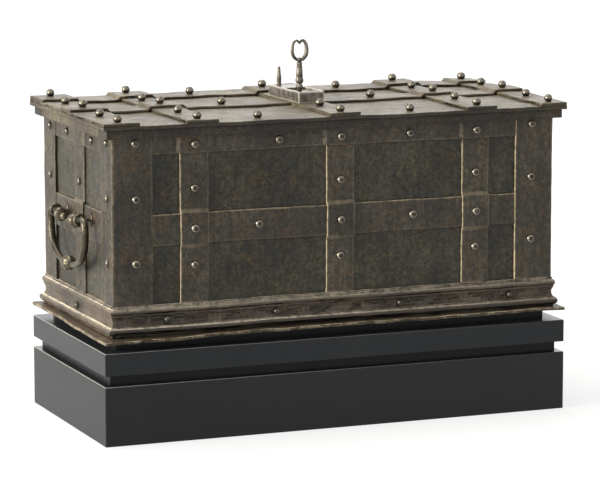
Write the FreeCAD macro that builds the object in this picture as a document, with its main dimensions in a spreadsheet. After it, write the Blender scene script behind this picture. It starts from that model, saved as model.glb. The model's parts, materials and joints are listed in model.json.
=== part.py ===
import FreeCAD, Part
import math
import operator
import os
from collections import namedtuple
from types import SimpleNamespace

import Sketcher

# An iron strongbox, bound with joggled straps and closed by a lock in its lid, on a
# display plinth. Millimetres, +X to the right, the front towards -Y, +Z up, with the
# origin under the middle of the plinth.

# Driving dimensions, in the groups that the object is made of.
SIZES = {
    # Plinth, from the floor up.
    "plinth_end_margin": 25.0,
    "plinth_side_margin": 20.0,
    "plinth_base_height": 108.0,
    "plinth_edge": 1.5,
    "reveal_height": 19.0,
    "reveal_inset": 13.0,
    "slab_height": 41.0,
    "riser_height": 19.0,
    "riser_inset": 30.0,
    # Board under the box.
    "board_end_margin": 26.0,
    "board_side_margin": 22.5,
    "board_thickness": 6.0,
    "board_round": 2.4,
    # Walls, floor and the rim that the bolts catch under.
    "body_length": 850.0,
    "body_width": 380.0,
    "body_height": 354.0,
    "panel": 5.0,
    "floor_thickness": 6.0,
    "rim_thickness": 6.0,
    "rim_reach": 36.0,
    # Base moulding, from the board up: foot, torus, cove, fillet, bead and cap.
    "foot_height": 3.5,
    "foot_out": 8.4,
    "torus_height": 15.0,
    "torus_rise": 6.1,
    "cove_height": 18.0,
    "cove_depth": 3.0,
    "fillet_height": 3.0,
    "bead_height": 12.0,
    "bead_rise": 3.2,
    "cap_height": 3.5,
    "cap_out": 6.0,
    # Corner plates.
    "corner_strap": 5.0,
    "corner_reach": 71.0,
    "corner_front_leg": 54.0,
    "corner_back_leg": 62.0,
    "corner_round": 3.0,
    # Bands and uprights of the walls.
    "strap": 4.0,
    "top_band": 31.0,
    "mid_band_low": 160.0,
    "mid_band": 56.0,
    "end_band_low": 157.0,
    "end_band": 60.0,
    "upright": 54.0,
    "upright_left_inset": 150.0,
    "upright_middle_shift": 5.0,
    "upright_right_inset": 152.0,
    "end_upright": 52.0,
    "end_upright_shift": -12.0,
    # Hinges.
    "hinge_out": 10.5,
    "hinge_drop": 11.0,
    "knuckle_radius": 6.2,
    "lid_knuckle": 22.0,
    "knuckle_gap": 0.5,
    "hinge_pin_radius": 2.5,
    "pin_clearance": 0.05,
    "pin_overhang": 2.0,
    "lid_leaf": 3.5,
    "lid_leaf_width": 12.5,
    "lid_leaf_gap": 0.5,
    "lid_leaf_neck": 6.0,
    # Drop handles.
    "handle_out": 25.0,
    "handle_rise": 38.0,
    "handle_shift": -5.0,
    "bail_half": 109.0,
    "bail_low_half": 104.0,
    "bail_shoulder_drop": 60.0,
    "bail_drop": 88.0,
    "bail_top_bend": 20.0,
    "bail_low_bend": 36.0,
    "bail_middle_bend": 60.0,
    "bail_bar_radius": 5.4,
    "bail_tip_half": 24.0,
    "bail_tip_drop": 6.0,
    "bail_tip_radius": 7.0,
    "knop_half": 19.0,
    "knop_rise": 7.0,
    "eye_half": 69.0,
    "eye_hole_radius": 6.0,
    "eye_wire_radius": 3.2,
    "eye_plate_radius": 13.0,
    "eye_plate": 3.0,
    "eye_stem_radius": 4.2,
    # Lid.
    "frame_margin": 18.0,
    "lid_margin": 7.0,
    "lid_plate": 7.0,
    "lid_edge": 1.8,
    "frame_height": 16.0,
    "rail_width": 40.0,
    "cross_strap": 6.0,
    "left_cross_width": 68.0,
    "inner_cross_width": 60.0,
    "right_cross_width": 54.0,
    "cross_left_inset": 185.0,
    "cross_middle_shift": 7.0,
    "cross_right_inset": 173.0,
    "long_strap": 5.0,
    "middle_strap": 58.0,
    "middle_strap_shift": 4.0,
    "rear_strap": 73.0,
    # Key box on the lid, with its sliding keyhole cover.
    "box_left_reach": 25.0,
    "box_right_reach": 26.0,
    "box_front_reach": 58.0,
    "box_back_gap": 49.0,
    "box_height": 21.0,
    "box_edge": 1.2,
    "channel_depth": 5.0,
    "channel_wall": 4.0,
    "undercut": 2.0,
    "undercut_height": 2.3,
    "slide_clearance": 0.3,
    "cover_base": 2.0,
    "cover_top": 2.0,
    "cover_rest_gap": 27.0,
    "cover_end_gap": 1.5,
    "peg_shift": 10.0,
    "peg_inset": 13.0,
    "peg_foot_radius": 4.7,
    "peg_waist_radius": 3.2,
    "peg_tip_radius": 4.0,
    "peg_height": 35.0,
    # Key.
    "lock_x": 5.0,
    "lock_y": 3.0,
    "shank_radius": 4.5,
    "shank_clearance": 0.4,
    "bit_reach": 7.6,
    "bit_thickness": 2.6,
    "bit_height": 9.0,
    "bit_low": 1.0,
    "key_gap": 4.0,
    "neck_height": 10.0,
    "ball_height": 12.0,
    "ball_rise": 3.0,
    "stem_radius": 5.6,
    "stem_top_radius": 3.3,
    "stem_height": 23.0,
    "boss_height": 6.5,
    "boss_rise": 1.4,
    "bow_width": 34.0,
    "bow_height": 42.0,
    "bow_bar_radius": 2.7,
    "cusp_length": 7.0,
    # Lock under the lid: plate, cam, bolts, staples and bridge.
    "lock_plate": 4.0,
    "lock_plate_end_gap": 23.0,
    "lock_plate_side_gap": 18.0,
    "cam_margin": 1.5,
    "cam_thickness": 4.0,
    "cam_drop": 7.0,
    "hub_radius": 9.0,
    "hub_clearance": 0.06,
    "end_gap": 0.2,
    "bolt_bar": 4.0,
    "bolt_gap": 1.0,
    "crank_radius": 16.0,
    "crank_pin_radius": 3.0,
    "crank_pin_height": 5.3,
    "fork_hub_gap": 0.6,
    "fork_wall": 3.5,
    "notch_end_gap": 0.5,
    "notch_gap": 0.8,
    "tine": 5.0,
    "bolt_head": 8.0,
    "bolt_head_gap": 2.0,
    "bolt_rest_gap": 6.0,
    "step_length": 14.5,
    "rim_gap": 1.5,
    "crossbar_width": 18.0,
    "rake_lead": 8.0,
    "crossbar_inset": 135.0,
    "outer_head_inset": 155.0,
    "head_half": 12.0,
    "tail_length": 72.0,
    "guide_gap": 0.4,
    "guide_wall": 3.5,
    "guide_width": 10.0,
    "near_guide_reach": 100.0,
    "far_guide_inset": 125.0,
    "tail_guide_gap": 38.9,
    "centre_guide_gap": 11.4,
    "bridge": 4.0,
    "bridge_margin": 2.0,
    "pillar_gap": 5.0,
    "pillar_radius": 4.0,
    "drill_pin_radius": 2.1,
    "drill_pin_height": 11.0,
    "drill_clearance": 0.1,
    "drill_bore_depth": 30.0,
    # Studs.
    "wall_stud_radius": 7.8,
    "wall_stud_height": 5.6,
    "lid_stud_radius": 8.0,
    "lid_stud_height": 11.0,
    "cove_stud_height": 8.0,
    "band_left_shift": 22.0,
    "band_right_shift": 3.0,
    "mid_left_shift": 17.0,
    "mid_right_shift": 9.0,
    "corner_stud_inset": 39.0,
    "corner_top_inset": 10.0,
    "corner_upper_inset": 109.0,
    "corner_lower_height": 130.0,
    "end_band_front_shift": 5.0,
    "end_band_back_shift": 14.0,
    "end_front_inset": 22.0,
    "end_back_inset": 34.0,
    "end_back_upper_inset": 107.0,
    "lid_left_inset": 33.0,
    "lid_right_inset": 29.0,
    "left_stud_shift": 4.0,
    "middle_stud_shift": 2.0,
    "right_stud_shift": 1.0,
    "between_left_shift": 19.0,
    "between_right_shift": 6.0,
    "row_front_inset": 23.0,
    "row_second_inset": 120.0,
    "row_fourth_gap": 39.0,
    "row_back_inset": 21.0,
    "box_stud_gap": 40.0,
    "plate_stud_inset": 35.0,
    "rear_stud_inset": 40.0,
    # How far a cut runs past what it cuts.
    "overrun": 2.0,
}

# A strap bent at 45 degrees keeps its thickness when its outer bends lie this share of
# the thickness further out than the inner ones.
BEND_SHARE = 0.414
# Where rows of studs run between the straps below and above them.
UPPER_ROW_SHARE = 0.411
LOWER_ROW_SHARE = 0.638
END_ROW_SHARE = 0.368
# Studs as rings from the seat up, as shares of the radius and of the height.
WALL_STUD_SHARES = ((1.0, 0.0), (0.87, 0.5), (0.42, 1.0))
LID_STUD_SHARES = ((0.66, 0.0), (0.96, 0.2), (1.0, 0.45), (0.8, 0.78), (0.4, 1.0))
COVE_STUD_SHARES = ((0.5, 0.0), (0.92, 0.38), (0.74, 0.76), (0.36, 1.0))
COVE_STUD_PLACE_SHARES = (-0.385, -0.14, 0.144, 0.404)
# Where the cove studs sit: how far out of the cove's deepest line, as a share of it.
COVE_SEAT_SHARE = 0.19
STUD_SIDES = 10
# Where the crank pins stand at rest, as shares of the crank's radius: for the right,
# left, front and rear bolt.
DIAGONAL_SHARE = math.sqrt(0.5)
CRANK_SHARES = {
    "right": (-DIAGONAL_SHARE, DIAGONAL_SHARE),
    "left": (DIAGONAL_SHARE, -DIAGONAL_SHARE),
    "front": (DIAGONAL_SHARE, DIAGONAL_SHARE),
    "rear": (-DIAGONAL_SHARE, -DIAGONAL_SHARE),
}

X_AXIS = FreeCAD.Vector(1, 0, 0)
Y_AXIS = FreeCAD.Vector(0, 1, 0)
UP = FreeCAD.Vector(0, 0, 1)

OPERATIONS = {"+": operator.add, "-": operator.sub, "*": operator.mul, "/": operator.truediv}


class Size:
    """A number that remembers the sheet formula it comes from."""

    def __init__(self, number, formula):
        self.number = float(number)
        self.formula = formula

    def __float__(self):
        return self.number

    def __neg__(self):
        return Size(-self.number, "(-%s)" % self.formula)

    def __add__(self, other):
        return join(self, "+", other)

    def __radd__(self, other):
        return join(other, "+", self)

    def __sub__(self, other):
        return join(self, "-", other)

    def __rsub__(self, other):
        return join(other, "-", self)

    def __mul__(self, other):
        return join(self, "*", other)

    def __rmul__(self, other):
        return join(other, "*", self)

    def __truediv__(self, other):
        return join(self, "/", other)


def as_size(value):
    """The value as a Size; a plain number stands for itself in a formula."""
    if isinstance(value, Size):
        return value
    return Size(value, "(%s)" % repr(value))


def join(left, sign, right):
    first = as_size(left)
    second = as_size(right)
    number = OPERATIONS[sign](first.number, second.number)
    return Size(number, "(%s %s %s)" % (first.formula, sign, second.formula))


doc = FreeCAD.newDocument("strongbox")


def fill_sheet():
    """Writes the driving dimensions into the sheet and hands them back by name."""
    sheet = doc.addObject("Spreadsheet::Sheet", "sizes")
    named = {}
    for row, (name, value) in enumerate(SIZES.items(), start=1):
        sheet.set("A%d" % row, name)
        sheet.set("B%d" % row, str(value))
        sheet.setAlias("B%d" % row, name)
        named[name] = Size(value, "sizes." + name)
    doc.recompute()
    return SimpleNamespace(**named)


S = fill_sheet()

# The four walls: how each is turned, half its length along and its face's distance out.
Wall = namedtuple("Wall", "name turn half depth")
FRONT = Wall("front", 0, S.body_length / 2, S.body_width / 2)
RIGHT = Wall("right", 90, S.body_width / 2, S.body_length / 2)
BACK = Wall("back", 180, S.body_length / 2, S.body_width / 2)
LEFT = Wall("left", -90, S.body_width / 2, S.body_length / 2)
WALLS = (FRONT, RIGHT, BACK, LEFT)

# Heights that the pieces share.
SLAB_LOW = S.plinth_base_height + S.reveal_height
PLINTH_TOP = SLAB_LOW + S.slab_height
BOARD_LOW = PLINTH_TOP + S.riser_height
BODY_LOW = BOARD_LOW + S.board_thickness
BODY_TOP = BODY_LOW + S.body_height
STRAP_LOW = (BODY_LOW + S.foot_height + S.torus_height + S.cove_height + S.fillet_height
             + S.bead_height + S.cap_height)
FRAME_TOP = BODY_TOP + S.frame_height
LID_TOP = FRAME_TOP + S.lid_plate
CROSS_TOP = LID_TOP + S.cross_strap
LONG_TOP = LID_TOP + S.long_strap
HUMP_TOP = CROSS_TOP + S.long_strap
BOX_TOP = CROSS_TOP + S.box_height
CHANNEL_LOW = BOX_TOP - S.channel_depth
LOCK_LOW = FRAME_TOP - S.lock_plate
CAM_TOP = LOCK_LOW - S.cam_drop
CAM_LOW = CAM_TOP - S.cam_thickness
BRIDGE_TOP = CAM_LOW - S.cam_drop
UPPER_BAR_LOW = CAM_TOP + S.bolt_gap
LOWER_BAR_TOP = CAM_LOW - S.bolt_gap
LOWER_BAR_LOW = LOWER_BAR_TOP - S.bolt_bar
HEAD_TOP = BODY_TOP - S.rim_thickness - S.bolt_head_gap
HEAD_LOW = HEAD_TOP - S.bolt_head
RAKE_LOW = HEAD_TOP - S.bolt_bar
HINGE_Y = S.body_width / 2 + S.hinge_out
HINGE_Z = BODY_TOP - S.hinge_drop
HANDLE_Z = BODY_LOW + S.end_band_low + S.handle_rise

# Half lengths and half widths that pieces share.
FRAME_HALF_LENGTH = S.body_length / 2 + S.frame_margin
FRAME_HALF_WIDTH = S.body_width / 2 + S.frame_margin
LID_HALF_LENGTH = FRAME_HALF_LENGTH + S.lid_margin
LID_HALF_WIDTH = FRAME_HALF_WIDTH + S.lid_margin
REAR_STRAP_FRONT = LID_HALF_WIDTH - S.rear_strap

# Centres of the front's uprights along X.
UPRIGHTS = (
    -S.body_length / 2 + S.upright_left_inset,
    S.upright_middle_shift,
    S.body_length / 2 - S.upright_right_inset,
)
# Spans of the lid's cross straps along X, from the left end to the right end.
CROSS_LEFT = -LID_HALF_LENGTH + S.cross_left_inset
CROSS_RIGHT = LID_HALF_LENGTH - S.cross_right_inset
LID_CROSSES = (
    (-LID_HALF_LENGTH, -LID_HALF_LENGTH + S.left_cross_width),
    (CROSS_LEFT - S.inner_cross_width / 2, CROSS_LEFT + S.inner_cross_width / 2),
    (S.cross_middle_shift - S.middle_strap / 2, S.cross_middle_shift + S.middle_strap / 2),
    (CROSS_RIGHT - S.inner_cross_width / 2, CROSS_RIGHT + S.inner_cross_width / 2),
    (LID_HALF_LENGTH - S.right_cross_width, LID_HALF_LENGTH),
)

# The key box's sides.
BOX_LEFT = S.lock_x - S.box_left_reach
BOX_RIGHT = S.lock_x + S.box_right_reach
BOX_FRONT = S.lock_y - S.box_front_reach
BOX_BACK = REAR_STRAP_FRONT - S.box_back_gap

# The crank's throw, and the bolts' forks measured from the lock's axis.
BOLT_TRAVEL = S.crank_radius / DIAGONAL_SHARE
FORK_NEAR = S.hub_radius + S.fork_hub_gap
FORK_NOTCH = S.crank_radius + S.crank_pin_radius + S.notch_end_gap
FORK_FAR = FORK_NOTCH + S.fork_wall
PILLAR_HALF = FORK_FAR + S.pillar_gap + S.pillar_radius

# The side bolts' and the rakes' places, from the lid's middle to the rim.
SIDE_BACK = S.body_length / 2 - S.rim_reach - S.rim_gap - BOLT_TRAVEL
RAKE_BACK = S.body_width / 2 - S.rim_reach - S.rim_gap - BOLT_TRAVEL
RAKE_INNER = RAKE_BACK - S.crossbar_width
RAKE_TOE = RAKE_INNER - S.rake_lead
RAKE_HEEL = RAKE_TOE - S.step_length
OUTER_HEAD = S.body_length / 2 - S.outer_head_inset


def bind(thing, name, size):
    thing.setExpression(name, as_size(size).formula)


def point(along, across, up):
    return FreeCAD.Vector(float(along), float(across), float(up))


def spread(centre, half):
    """The span that reaches half each way from a centre."""
    return (centre - half, centre + half)


# Circle and Outline are what a sketch can hold. An outline's point is (x, y), or
# (x, y, rise) where the edge to the next point is an arc that rises to the left.
Circle = namedtuple("Circle", "x y radius")


def rectangle(across, up):
    return [(across[0], up[0]), (across[1], up[0]), (across[1], up[1]), (across[0], up[1])]


def draw_circle(sketch, circle):
    centre = point(circle.x, circle.y, 0)
    edge = sketch.addGeometry(Part.Circle(centre, UP, float(circle.radius)), False)
    hold(sketch, "DistanceX", (-1, 1, edge, 3), circle.x)
    hold(sketch, "DistanceY", (-1, 1, edge, 3), circle.y)
    hold(sketch, "Radius", (edge,), circle.radius)


def hold(sketch, kind, places, size):
    """Adds a dimension to a sketch and binds it to the size's formula."""
    number = sketch.addConstraint(Sketcher.Constraint(kind, *places, float(size)))
    bind(sketch, "Constraints[%d]" % number, size)


def arc_radius(start, end, rise):
    across = end[0] - start[0]
    up = end[1] - start[1]
    return ((across * across + up * up) / 4 + rise * rise) / (rise * 2)


def arc_through(start, end, rise):
    """The sketch arc from start to end, and whether it runs from end to start."""
    first = point(start[0], start[1], 0)
    last = point(end[0], end[1], 0)
    chord = last - first
    left = FreeCAD.Vector(-chord.y, chord.x, 0).normalize()
    middle = (first + last) / 2 + left * float(rise)
    circle = Part.Arc(first, middle, last).toShape().Curve
    backwards = float(rise) > 0
    if backwards:
        first, last = last, first
    angles = [math.atan2(p.y - circle.Center.y, p.x - circle.Center.x) for p in (first, last)]
    whole = Part.Circle(circle.Center, UP, circle.Radius)
    return Part.ArcOfCircle(whole, angles[0], angles[1]), backwards


def draw_outline(sketch, corners):
    """A closed outline, each corner held by its two distances from the origin."""
    ends = []
    for here, start in enumerate(corners):
        end = corners[(here + 1) % len(corners)]
        if len(start) == 3:
            arc, backwards = arc_through(start, end, start[2])
            edge = sketch.addGeometry(arc, False)
            ends.append((edge, 2, 1) if backwards else (edge, 1, 2))
        else:
            line = Part.LineSegment(point(start[0], start[1], 0), point(end[0], end[1], 0))
            ends.append((sketch.addGeometry(line, False), 1, 2))
    for here, (edge, first, last) in enumerate(ends):
        following = ends[(here + 1) % len(ends)]
        joint = Sketcher.Constraint("Coincident", edge, last, following[0], following[1])
        sketch.addConstraint(joint)
    for corner, (edge, first, last) in zip(corners, ends):
        hold(sketch, "DistanceX", (-1, 1, edge, first), corner[0])
        hold(sketch, "DistanceY", (-1, 1, edge, first), corner[1])
    for here, start in enumerate(corners):
        if len(start) == 3:
            end = corners[(here + 1) % len(corners)]
            size = arc_radius(start, end, start[2] if float(start[2]) > 0 else -start[2])
            hold(sketch, "Radius", (ends[here][0],), size)


def sketch_on(body, plane, offset, shapes):
    """A sketch parallel to one of the body's own planes."""
    sketch = body.newObject("Sketcher::SketchObject", body.Label + "_sketch")
    planes = body.Origin.OriginFeatures
    sketch.AttachmentSupport = (next(p for p in planes if p.Role == plane), "")
    sketch.MapMode = "FlatFace"
    bind(sketch, "AttachmentOffset.Base.z", offset)
    for shape in shapes:
        if isinstance(shape, Circle):
            draw_circle(sketch, shape)
        else:
            draw_outline(sketch, shape)
    return sketch


def new_body(label, turn=0):
    body = doc.addObject("PartDesign::Body", label)
    body.Label = label
    body.Placement = FreeCAD.Placement(FreeCAD.Vector(), FreeCAD.Rotation(UP, turn))
    return body


def add_prism(body, plane, span, *shapes):
    """Pads shapes over a span of the axis square to the plane; XZ looks along -Y."""
    offset = -span[1] if plane == "XZ_Plane" else span[0]
    pad = body.newObject("PartDesign::Pad", body.Label + "_pad")
    pad.Profile = sketch_on(body, plane, offset, shapes)
    bind(pad, "Length", span[1] - span[0])
    return pad


def cut_prism(body, plane, span, *shapes):
    """Cuts shapes away over a span of the axis square to the plane."""
    offset = -span[0] if plane == "XZ_Plane" else span[1]
    doc.recompute()
    before = body.Shape.Volume
    pocket = body.newObject("PartDesign::Pocket", body.Label + "_pocket")
    pocket.Profile = sketch_on(body, plane, offset, shapes)
    bind(pocket, "Length", span[1] - span[0])
    doc.recompute()
    if body.Shape.Volume >= before:
        raise RuntimeError("a pocket of %s cuts nothing" % body.Label)
    return pocket


def lathe(body, *corners):
    """Turns an outline of (radius, height) corners about the body's own upright axis."""
    sketch = sketch_on(body, "XZ_Plane", 0, [list(corners)])
    turned = body.newObject("PartDesign::Revolution", body.Label + "_turned")
    turned.Profile = sketch
    turned.ReferenceAxis = (sketch, ["V_Axis"])
    turned.Angle = 360
    return turned


def round_edges(body, chosen, radius):
    """Rounds the edges that the chosen test picks."""
    doc.recompute()
    edges = enumerate(body.Shape.Edges, start=1)
    names = ["Edge%d" % number for number, edge in edges if chosen(edge)]
    base = body.Tip
    fillet = body.newObject("PartDesign::Fillet", body.Label + "_fillet")
    fillet.Base = (base, names)
    bind(fillet, "Radius", radius)
    return fillet


def level(edge):
    """Whether an edge lies flat."""
    return abs(edge.Vertexes[0].Z - edge.Vertexes[-1].Z) < Part.Precision.confusion()


def at_height(height):
    """A test that picks the flat edges at a height."""
    def chosen(edge):
        return level(edge) and math.isclose(edge.Vertexes[0].Z, float(height))
    return chosen


def place(piece, turn, along, out, up):
    """Turns a piece about the upright axis and binds where its own origin goes."""
    turned = {0: (along, out), 90: (-out, along), 180: (-along, -out), -90: (out, -along)}
    x, y = turned[turn]
    piece.Placement = FreeCAD.Placement(FreeCAD.Vector(), FreeCAD.Rotation(UP, turn))
    bind(piece, "Placement.Base.x", x)
    bind(piece, "Placement.Base.y", y)
    bind(piece, "Placement.Base.z", up)


def slab(label, turn, along, out, up):
    """A flat bar, each of its three spans given as (low, high)."""
    bar = doc.addObject("Part::Box", label)
    bar.Label = label
    bind(bar, "Length", along[1] - along[0])
    bind(bar, "Width", out[1] - out[0])
    bind(bar, "Height", up[1] - up[0])
    place(bar, turn, along[0], out[0], up[0])
    return bar


def gather(label, pieces):
    """Like pieces kept as separate solids of one node."""
    whole = doc.addObject("Part::Compound", label)
    whole.Label = label
    whole.Links = pieces
    return whole


def fuse(label, pieces):
    whole = doc.addObject("Part::MultiFuse", label)
    whole.Label = label
    whole.Shapes = pieces
    return whole


def feature(label, shape, turn=0):
    """A piece whose shape the code below makes itself."""
    piece = doc.addObject("Part::Feature", label)
    piece.Label = label
    piece.Shape = shape
    piece.Placement = FreeCAD.Placement(FreeCAD.Vector(), FreeCAD.Rotation(UP, turn))
    return piece


def strip(span, bumps, lift, thickness):
    """A strap seen on edge as (along, height) corners, stepped out over each bump."""
    bend = thickness * BEND_SHARE
    under = []
    over = []
    start, end = span
    for low, high in bumps:
        if float(low) > float(start):
            under += [(low - lift, 0), (low, lift)]
            over += [(low - lift - bend, thickness), (low - bend, lift + thickness)]
        if float(high) < float(end):
            under += [(high, lift), (high + lift, 0)]
            over += [(high + bend, lift + thickness), (high + lift + bend, thickness)]
    first = under[0][1] if under else 0
    last = under[-1][1] if under else 0
    under = [(start, first)] + under + [(end, last)]
    over = [(start, first + thickness)] + over + [(end, last + thickness)]
    return under + over[::-1]


def make_plinth():
    """Four square blocks: base, recessed reveal, slab and the riser under the box."""
    layers = (
        ("plinth_base", 0, (0, S.plinth_base_height)),
        ("plinth_reveal", S.reveal_inset, (S.plinth_base_height, SLAB_LOW)),
        ("plinth_slab", 0, (SLAB_LOW, PLINTH_TOP)),
        ("plinth_riser", S.riser_inset, (PLINTH_TOP, BOARD_LOW)),
    )
    blocks = []
    for label, inset, up in layers:
        body = new_body(label)
        across = spread(0, S.body_length / 2 + S.plinth_end_margin - inset)
        out = spread(0, S.body_width / 2 + S.plinth_side_margin - inset)
        add_prism(body, "XY_Plane", up, rectangle(across, out))
        if inset == 0:
            round_edges(body, at_height(up[1]), S.plinth_edge)
        blocks.append(body)
    return blocks


def make_board():
    """The thin board under the mouldings, worn round all along its edge."""
    body = new_body("bottom_board")
    across = spread(0, S.body_length / 2 + S.board_end_margin)
    out = spread(0, S.body_width / 2 + S.board_side_margin)
    add_prism(body, "XY_Plane", (BOARD_LOW, BODY_LOW), rectangle(across, out))
    round_edges(body, level, S.board_round)
    return body


def make_panels():
    """Sheet walls, the end ones between the front and back ones, and the floor."""
    top = BODY_TOP - S.rim_thickness
    pieces = []
    for wall in WALLS:
        half = wall.half if wall in (FRONT, BACK) else wall.half - S.panel
        out = (-wall.depth, -wall.depth + S.panel)
        pieces.append(slab(wall.name + "_panel", wall.turn, spread(0, half), out, (BODY_LOW, top)))
    across = spread(0, S.body_length / 2 - S.panel)
    out = spread(0, S.body_width / 2 - S.panel)
    pieces.append(slab("floor_plate", 0, across, out, (BODY_LOW, BODY_LOW + S.floor_thickness)))
    return pieces


def make_rim():
    """Flat rails on the walls' edges, under which the bolts catch."""
    up = (BODY_TOP - S.rim_thickness, BODY_TOP)
    rails = []
    for wall in WALLS:
        half = wall.half if wall in (FRONT, BACK) else wall.half - S.rim_reach
        out = (-wall.depth, -wall.depth + S.rim_reach)
        rails.append(slab(wall.name + "_rim_rail", wall.turn, spread(0, half), out, up))
    return gather("rim_rails", rails)


def make_moulding(wall):
    """One side of the base moulding, mitred at both ends."""
    heights = [BODY_LOW]
    for step in (S.foot_height, S.torus_height, S.cove_height, S.fillet_height,
                 S.bead_height, S.cap_height):
        heights.append(heights[-1] + step)
    face = -wall.depth
    foot = face - S.foot_out
    cap = face - S.cap_out
    corners = [
        (face, heights[0]),
        (foot, heights[0]),
        (foot, heights[1], S.torus_rise),
        (foot, heights[2], -S.cove_depth),
        (foot, heights[3]),
        (foot, heights[4], S.bead_rise),
        (cap, heights[5]),
        (cap, heights[6]),
        (face, heights[6]),
    ]
    reach = S.foot_out + S.torus_rise
    body = new_body(wall.name + "_moulding", wall.turn)
    add_prism(body, "YZ_Plane", spread(0, wall.half + reach), corners)
    past = reach + S.overrun
    mitres = []
    for side in (-1, 1):
        inner = (side * (wall.half - S.overrun), face + S.overrun)
        outer = (side * (wall.half + past), face - past)
        mitres.append([inner, outer, (outer[0], inner[1])])
    span = (BODY_LOW - S.overrun, heights[6] + S.overrun)
    cut_prism(body, "XY_Plane", span, *mitres)
    return body


def make_corner(label, side, end, leg):
    """A corner plate: one leg on the front or back, the other on the end wall."""
    x = S.body_length / 2
    y = S.body_width / 2
    x_out = x + S.corner_strap
    y_out = y + S.corner_strap
    corners = [
        (side * x_out, end * y_out),
        (side * (x - S.corner_reach), end * y_out),
        (side * (x - S.corner_reach), end * y),
        (side * x, end * y),
        (side * x, end * (y - leg)),
        (side * x_out, end * (y - leg)),
    ]
    body = new_body(label)
    add_prism(body, "XY_Plane", (STRAP_LOW, BODY_TOP), corners)

    def outer_corner(edge):
        spot = edge.Vertexes[0].Point
        return (not level(edge) and math.isclose(abs(spot.x), float(x_out))
                and math.isclose(abs(spot.y), float(y_out)))

    round_edges(body, outer_corner, S.corner_round)
    return body


def make_corners():
    corners = []
    for end_name, end, leg in (("front", -1, S.corner_front_leg), ("back", 1, S.corner_back_leg)):
        for side_name, side in (("left", -1), ("right", 1)):
            label = "%s_%s_corner" % (end_name, side_name)
            corners.append(make_corner(label, side, end, leg))
    return corners


def band_span(wall):
    """Where a wall's bands run, from one corner plate to the other."""
    front = wall.half - S.corner_front_leg
    back = wall.half - S.corner_back_leg
    spans = {
        "front": spread(0, wall.half - S.corner_reach),
        "back": spread(0, wall.half - S.corner_reach),
        "left": (-back, front),
        "right": (-front, back),
    }
    return spans[wall.name]


def wall_uprights(wall):
    """Spans of a wall's uprights along the wall's own direction."""
    centres = {
        "front": UPRIGHTS,
        "back": tuple(-place for place in reversed(UPRIGHTS)),
        "left": (-S.end_upright_shift,),
        "right": (S.end_upright_shift,),
    }
    width = S.upright if wall in (FRONT, BACK) else S.end_upright
    return [spread(centre, width / 2) for centre in centres[wall.name]]


def mid_band_span(wall):
    """Bottom and top of a wall's middle band."""
    if wall in (FRONT, BACK):
        low = BODY_LOW + S.mid_band_low
        return (low, low + S.mid_band)
    low = BODY_LOW + S.end_band_low
    return (low, low + S.end_band)


def make_bands(wall):
    """The top band, which steps over the uprights, and the flat middle band."""
    bumps = [] if wall is BACK else wall_uprights(wall)
    edge = strip(band_span(wall), bumps, S.strap, S.strap)
    top = new_body(wall.name + "_top_band", wall.turn)
    corners = [(along, -wall.depth - height) for along, height in edge]
    add_prism(top, "XY_Plane", (BODY_TOP - S.top_band, BODY_TOP), corners)
    out = (-wall.depth - S.strap, -wall.depth)
    middle = slab(wall.name + "_middle_band", wall.turn, band_span(wall), out, mid_band_span(wall))
    return [top, middle]


def add_upright(body, wall, across, top, bumps):
    """A strap that runs up a wall and steps out over each band it crosses."""
    edge = strip((STRAP_LOW, top), bumps, S.strap, S.strap)
    corners = [(-wall.depth - height, along) for along, height in edge]
    add_prism(body, "YZ_Plane", across, corners)


def make_uprights():
    """Three uprights on the front, each its own node, and one on each end."""
    nodes = []
    for name, across in zip(("left", "middle", "right"), wall_uprights(FRONT)):
        body = new_body("front_upright_" + name)
        add_upright(body, FRONT, across, BODY_TOP, [mid_band_span(FRONT)])
        nodes.append(body)
    ends = []
    for wall in (LEFT, RIGHT):
        body = new_body(wall.name + "_end_upright", wall.turn)
        add_upright(body, wall, wall_uprights(wall)[0], BODY_TOP, [mid_band_span(wall)])
        ends.append(body)
    nodes.append(gather("end_uprights", ends))
    return nodes


def make_hinge_straps():
    """The back uprights: hinge straps whose tops roll into two knuckles each."""
    height = (-BACK.depth - S.hinge_out, HINGE_Z)
    top_bump = (BODY_TOP - S.top_band, HINGE_Z)
    straps = []
    for number, across in enumerate(wall_uprights(BACK), start=1):
        body = new_body("hinge_strap_%d" % number, BACK.turn)
        add_upright(body, BACK, across, HINGE_Z, [mid_band_span(BACK), top_bump])
        add_prism(body, "YZ_Plane", across, Circle(height[0], height[1], S.knuckle_radius))
        middle = (across[0] + across[1]) / 2
        gap = spread(middle, S.lid_knuckle / 2 + S.knuckle_gap)
        reach = S.knuckle_radius + S.knuckle_gap
        opening = rectangle((height[0] - reach, -BACK.depth), (HINGE_Z - reach, HINGE_Z + reach))
        cut_prism(body, "YZ_Plane", gap, opening)
        bore = Circle(height[0], height[1], S.hinge_pin_radius + S.pin_clearance)
        cut_prism(body, "YZ_Plane", (across[0] - S.overrun, across[1] + S.overrun), bore)
        straps.append(body)
    return gather("back_hinge_straps", straps)


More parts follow.
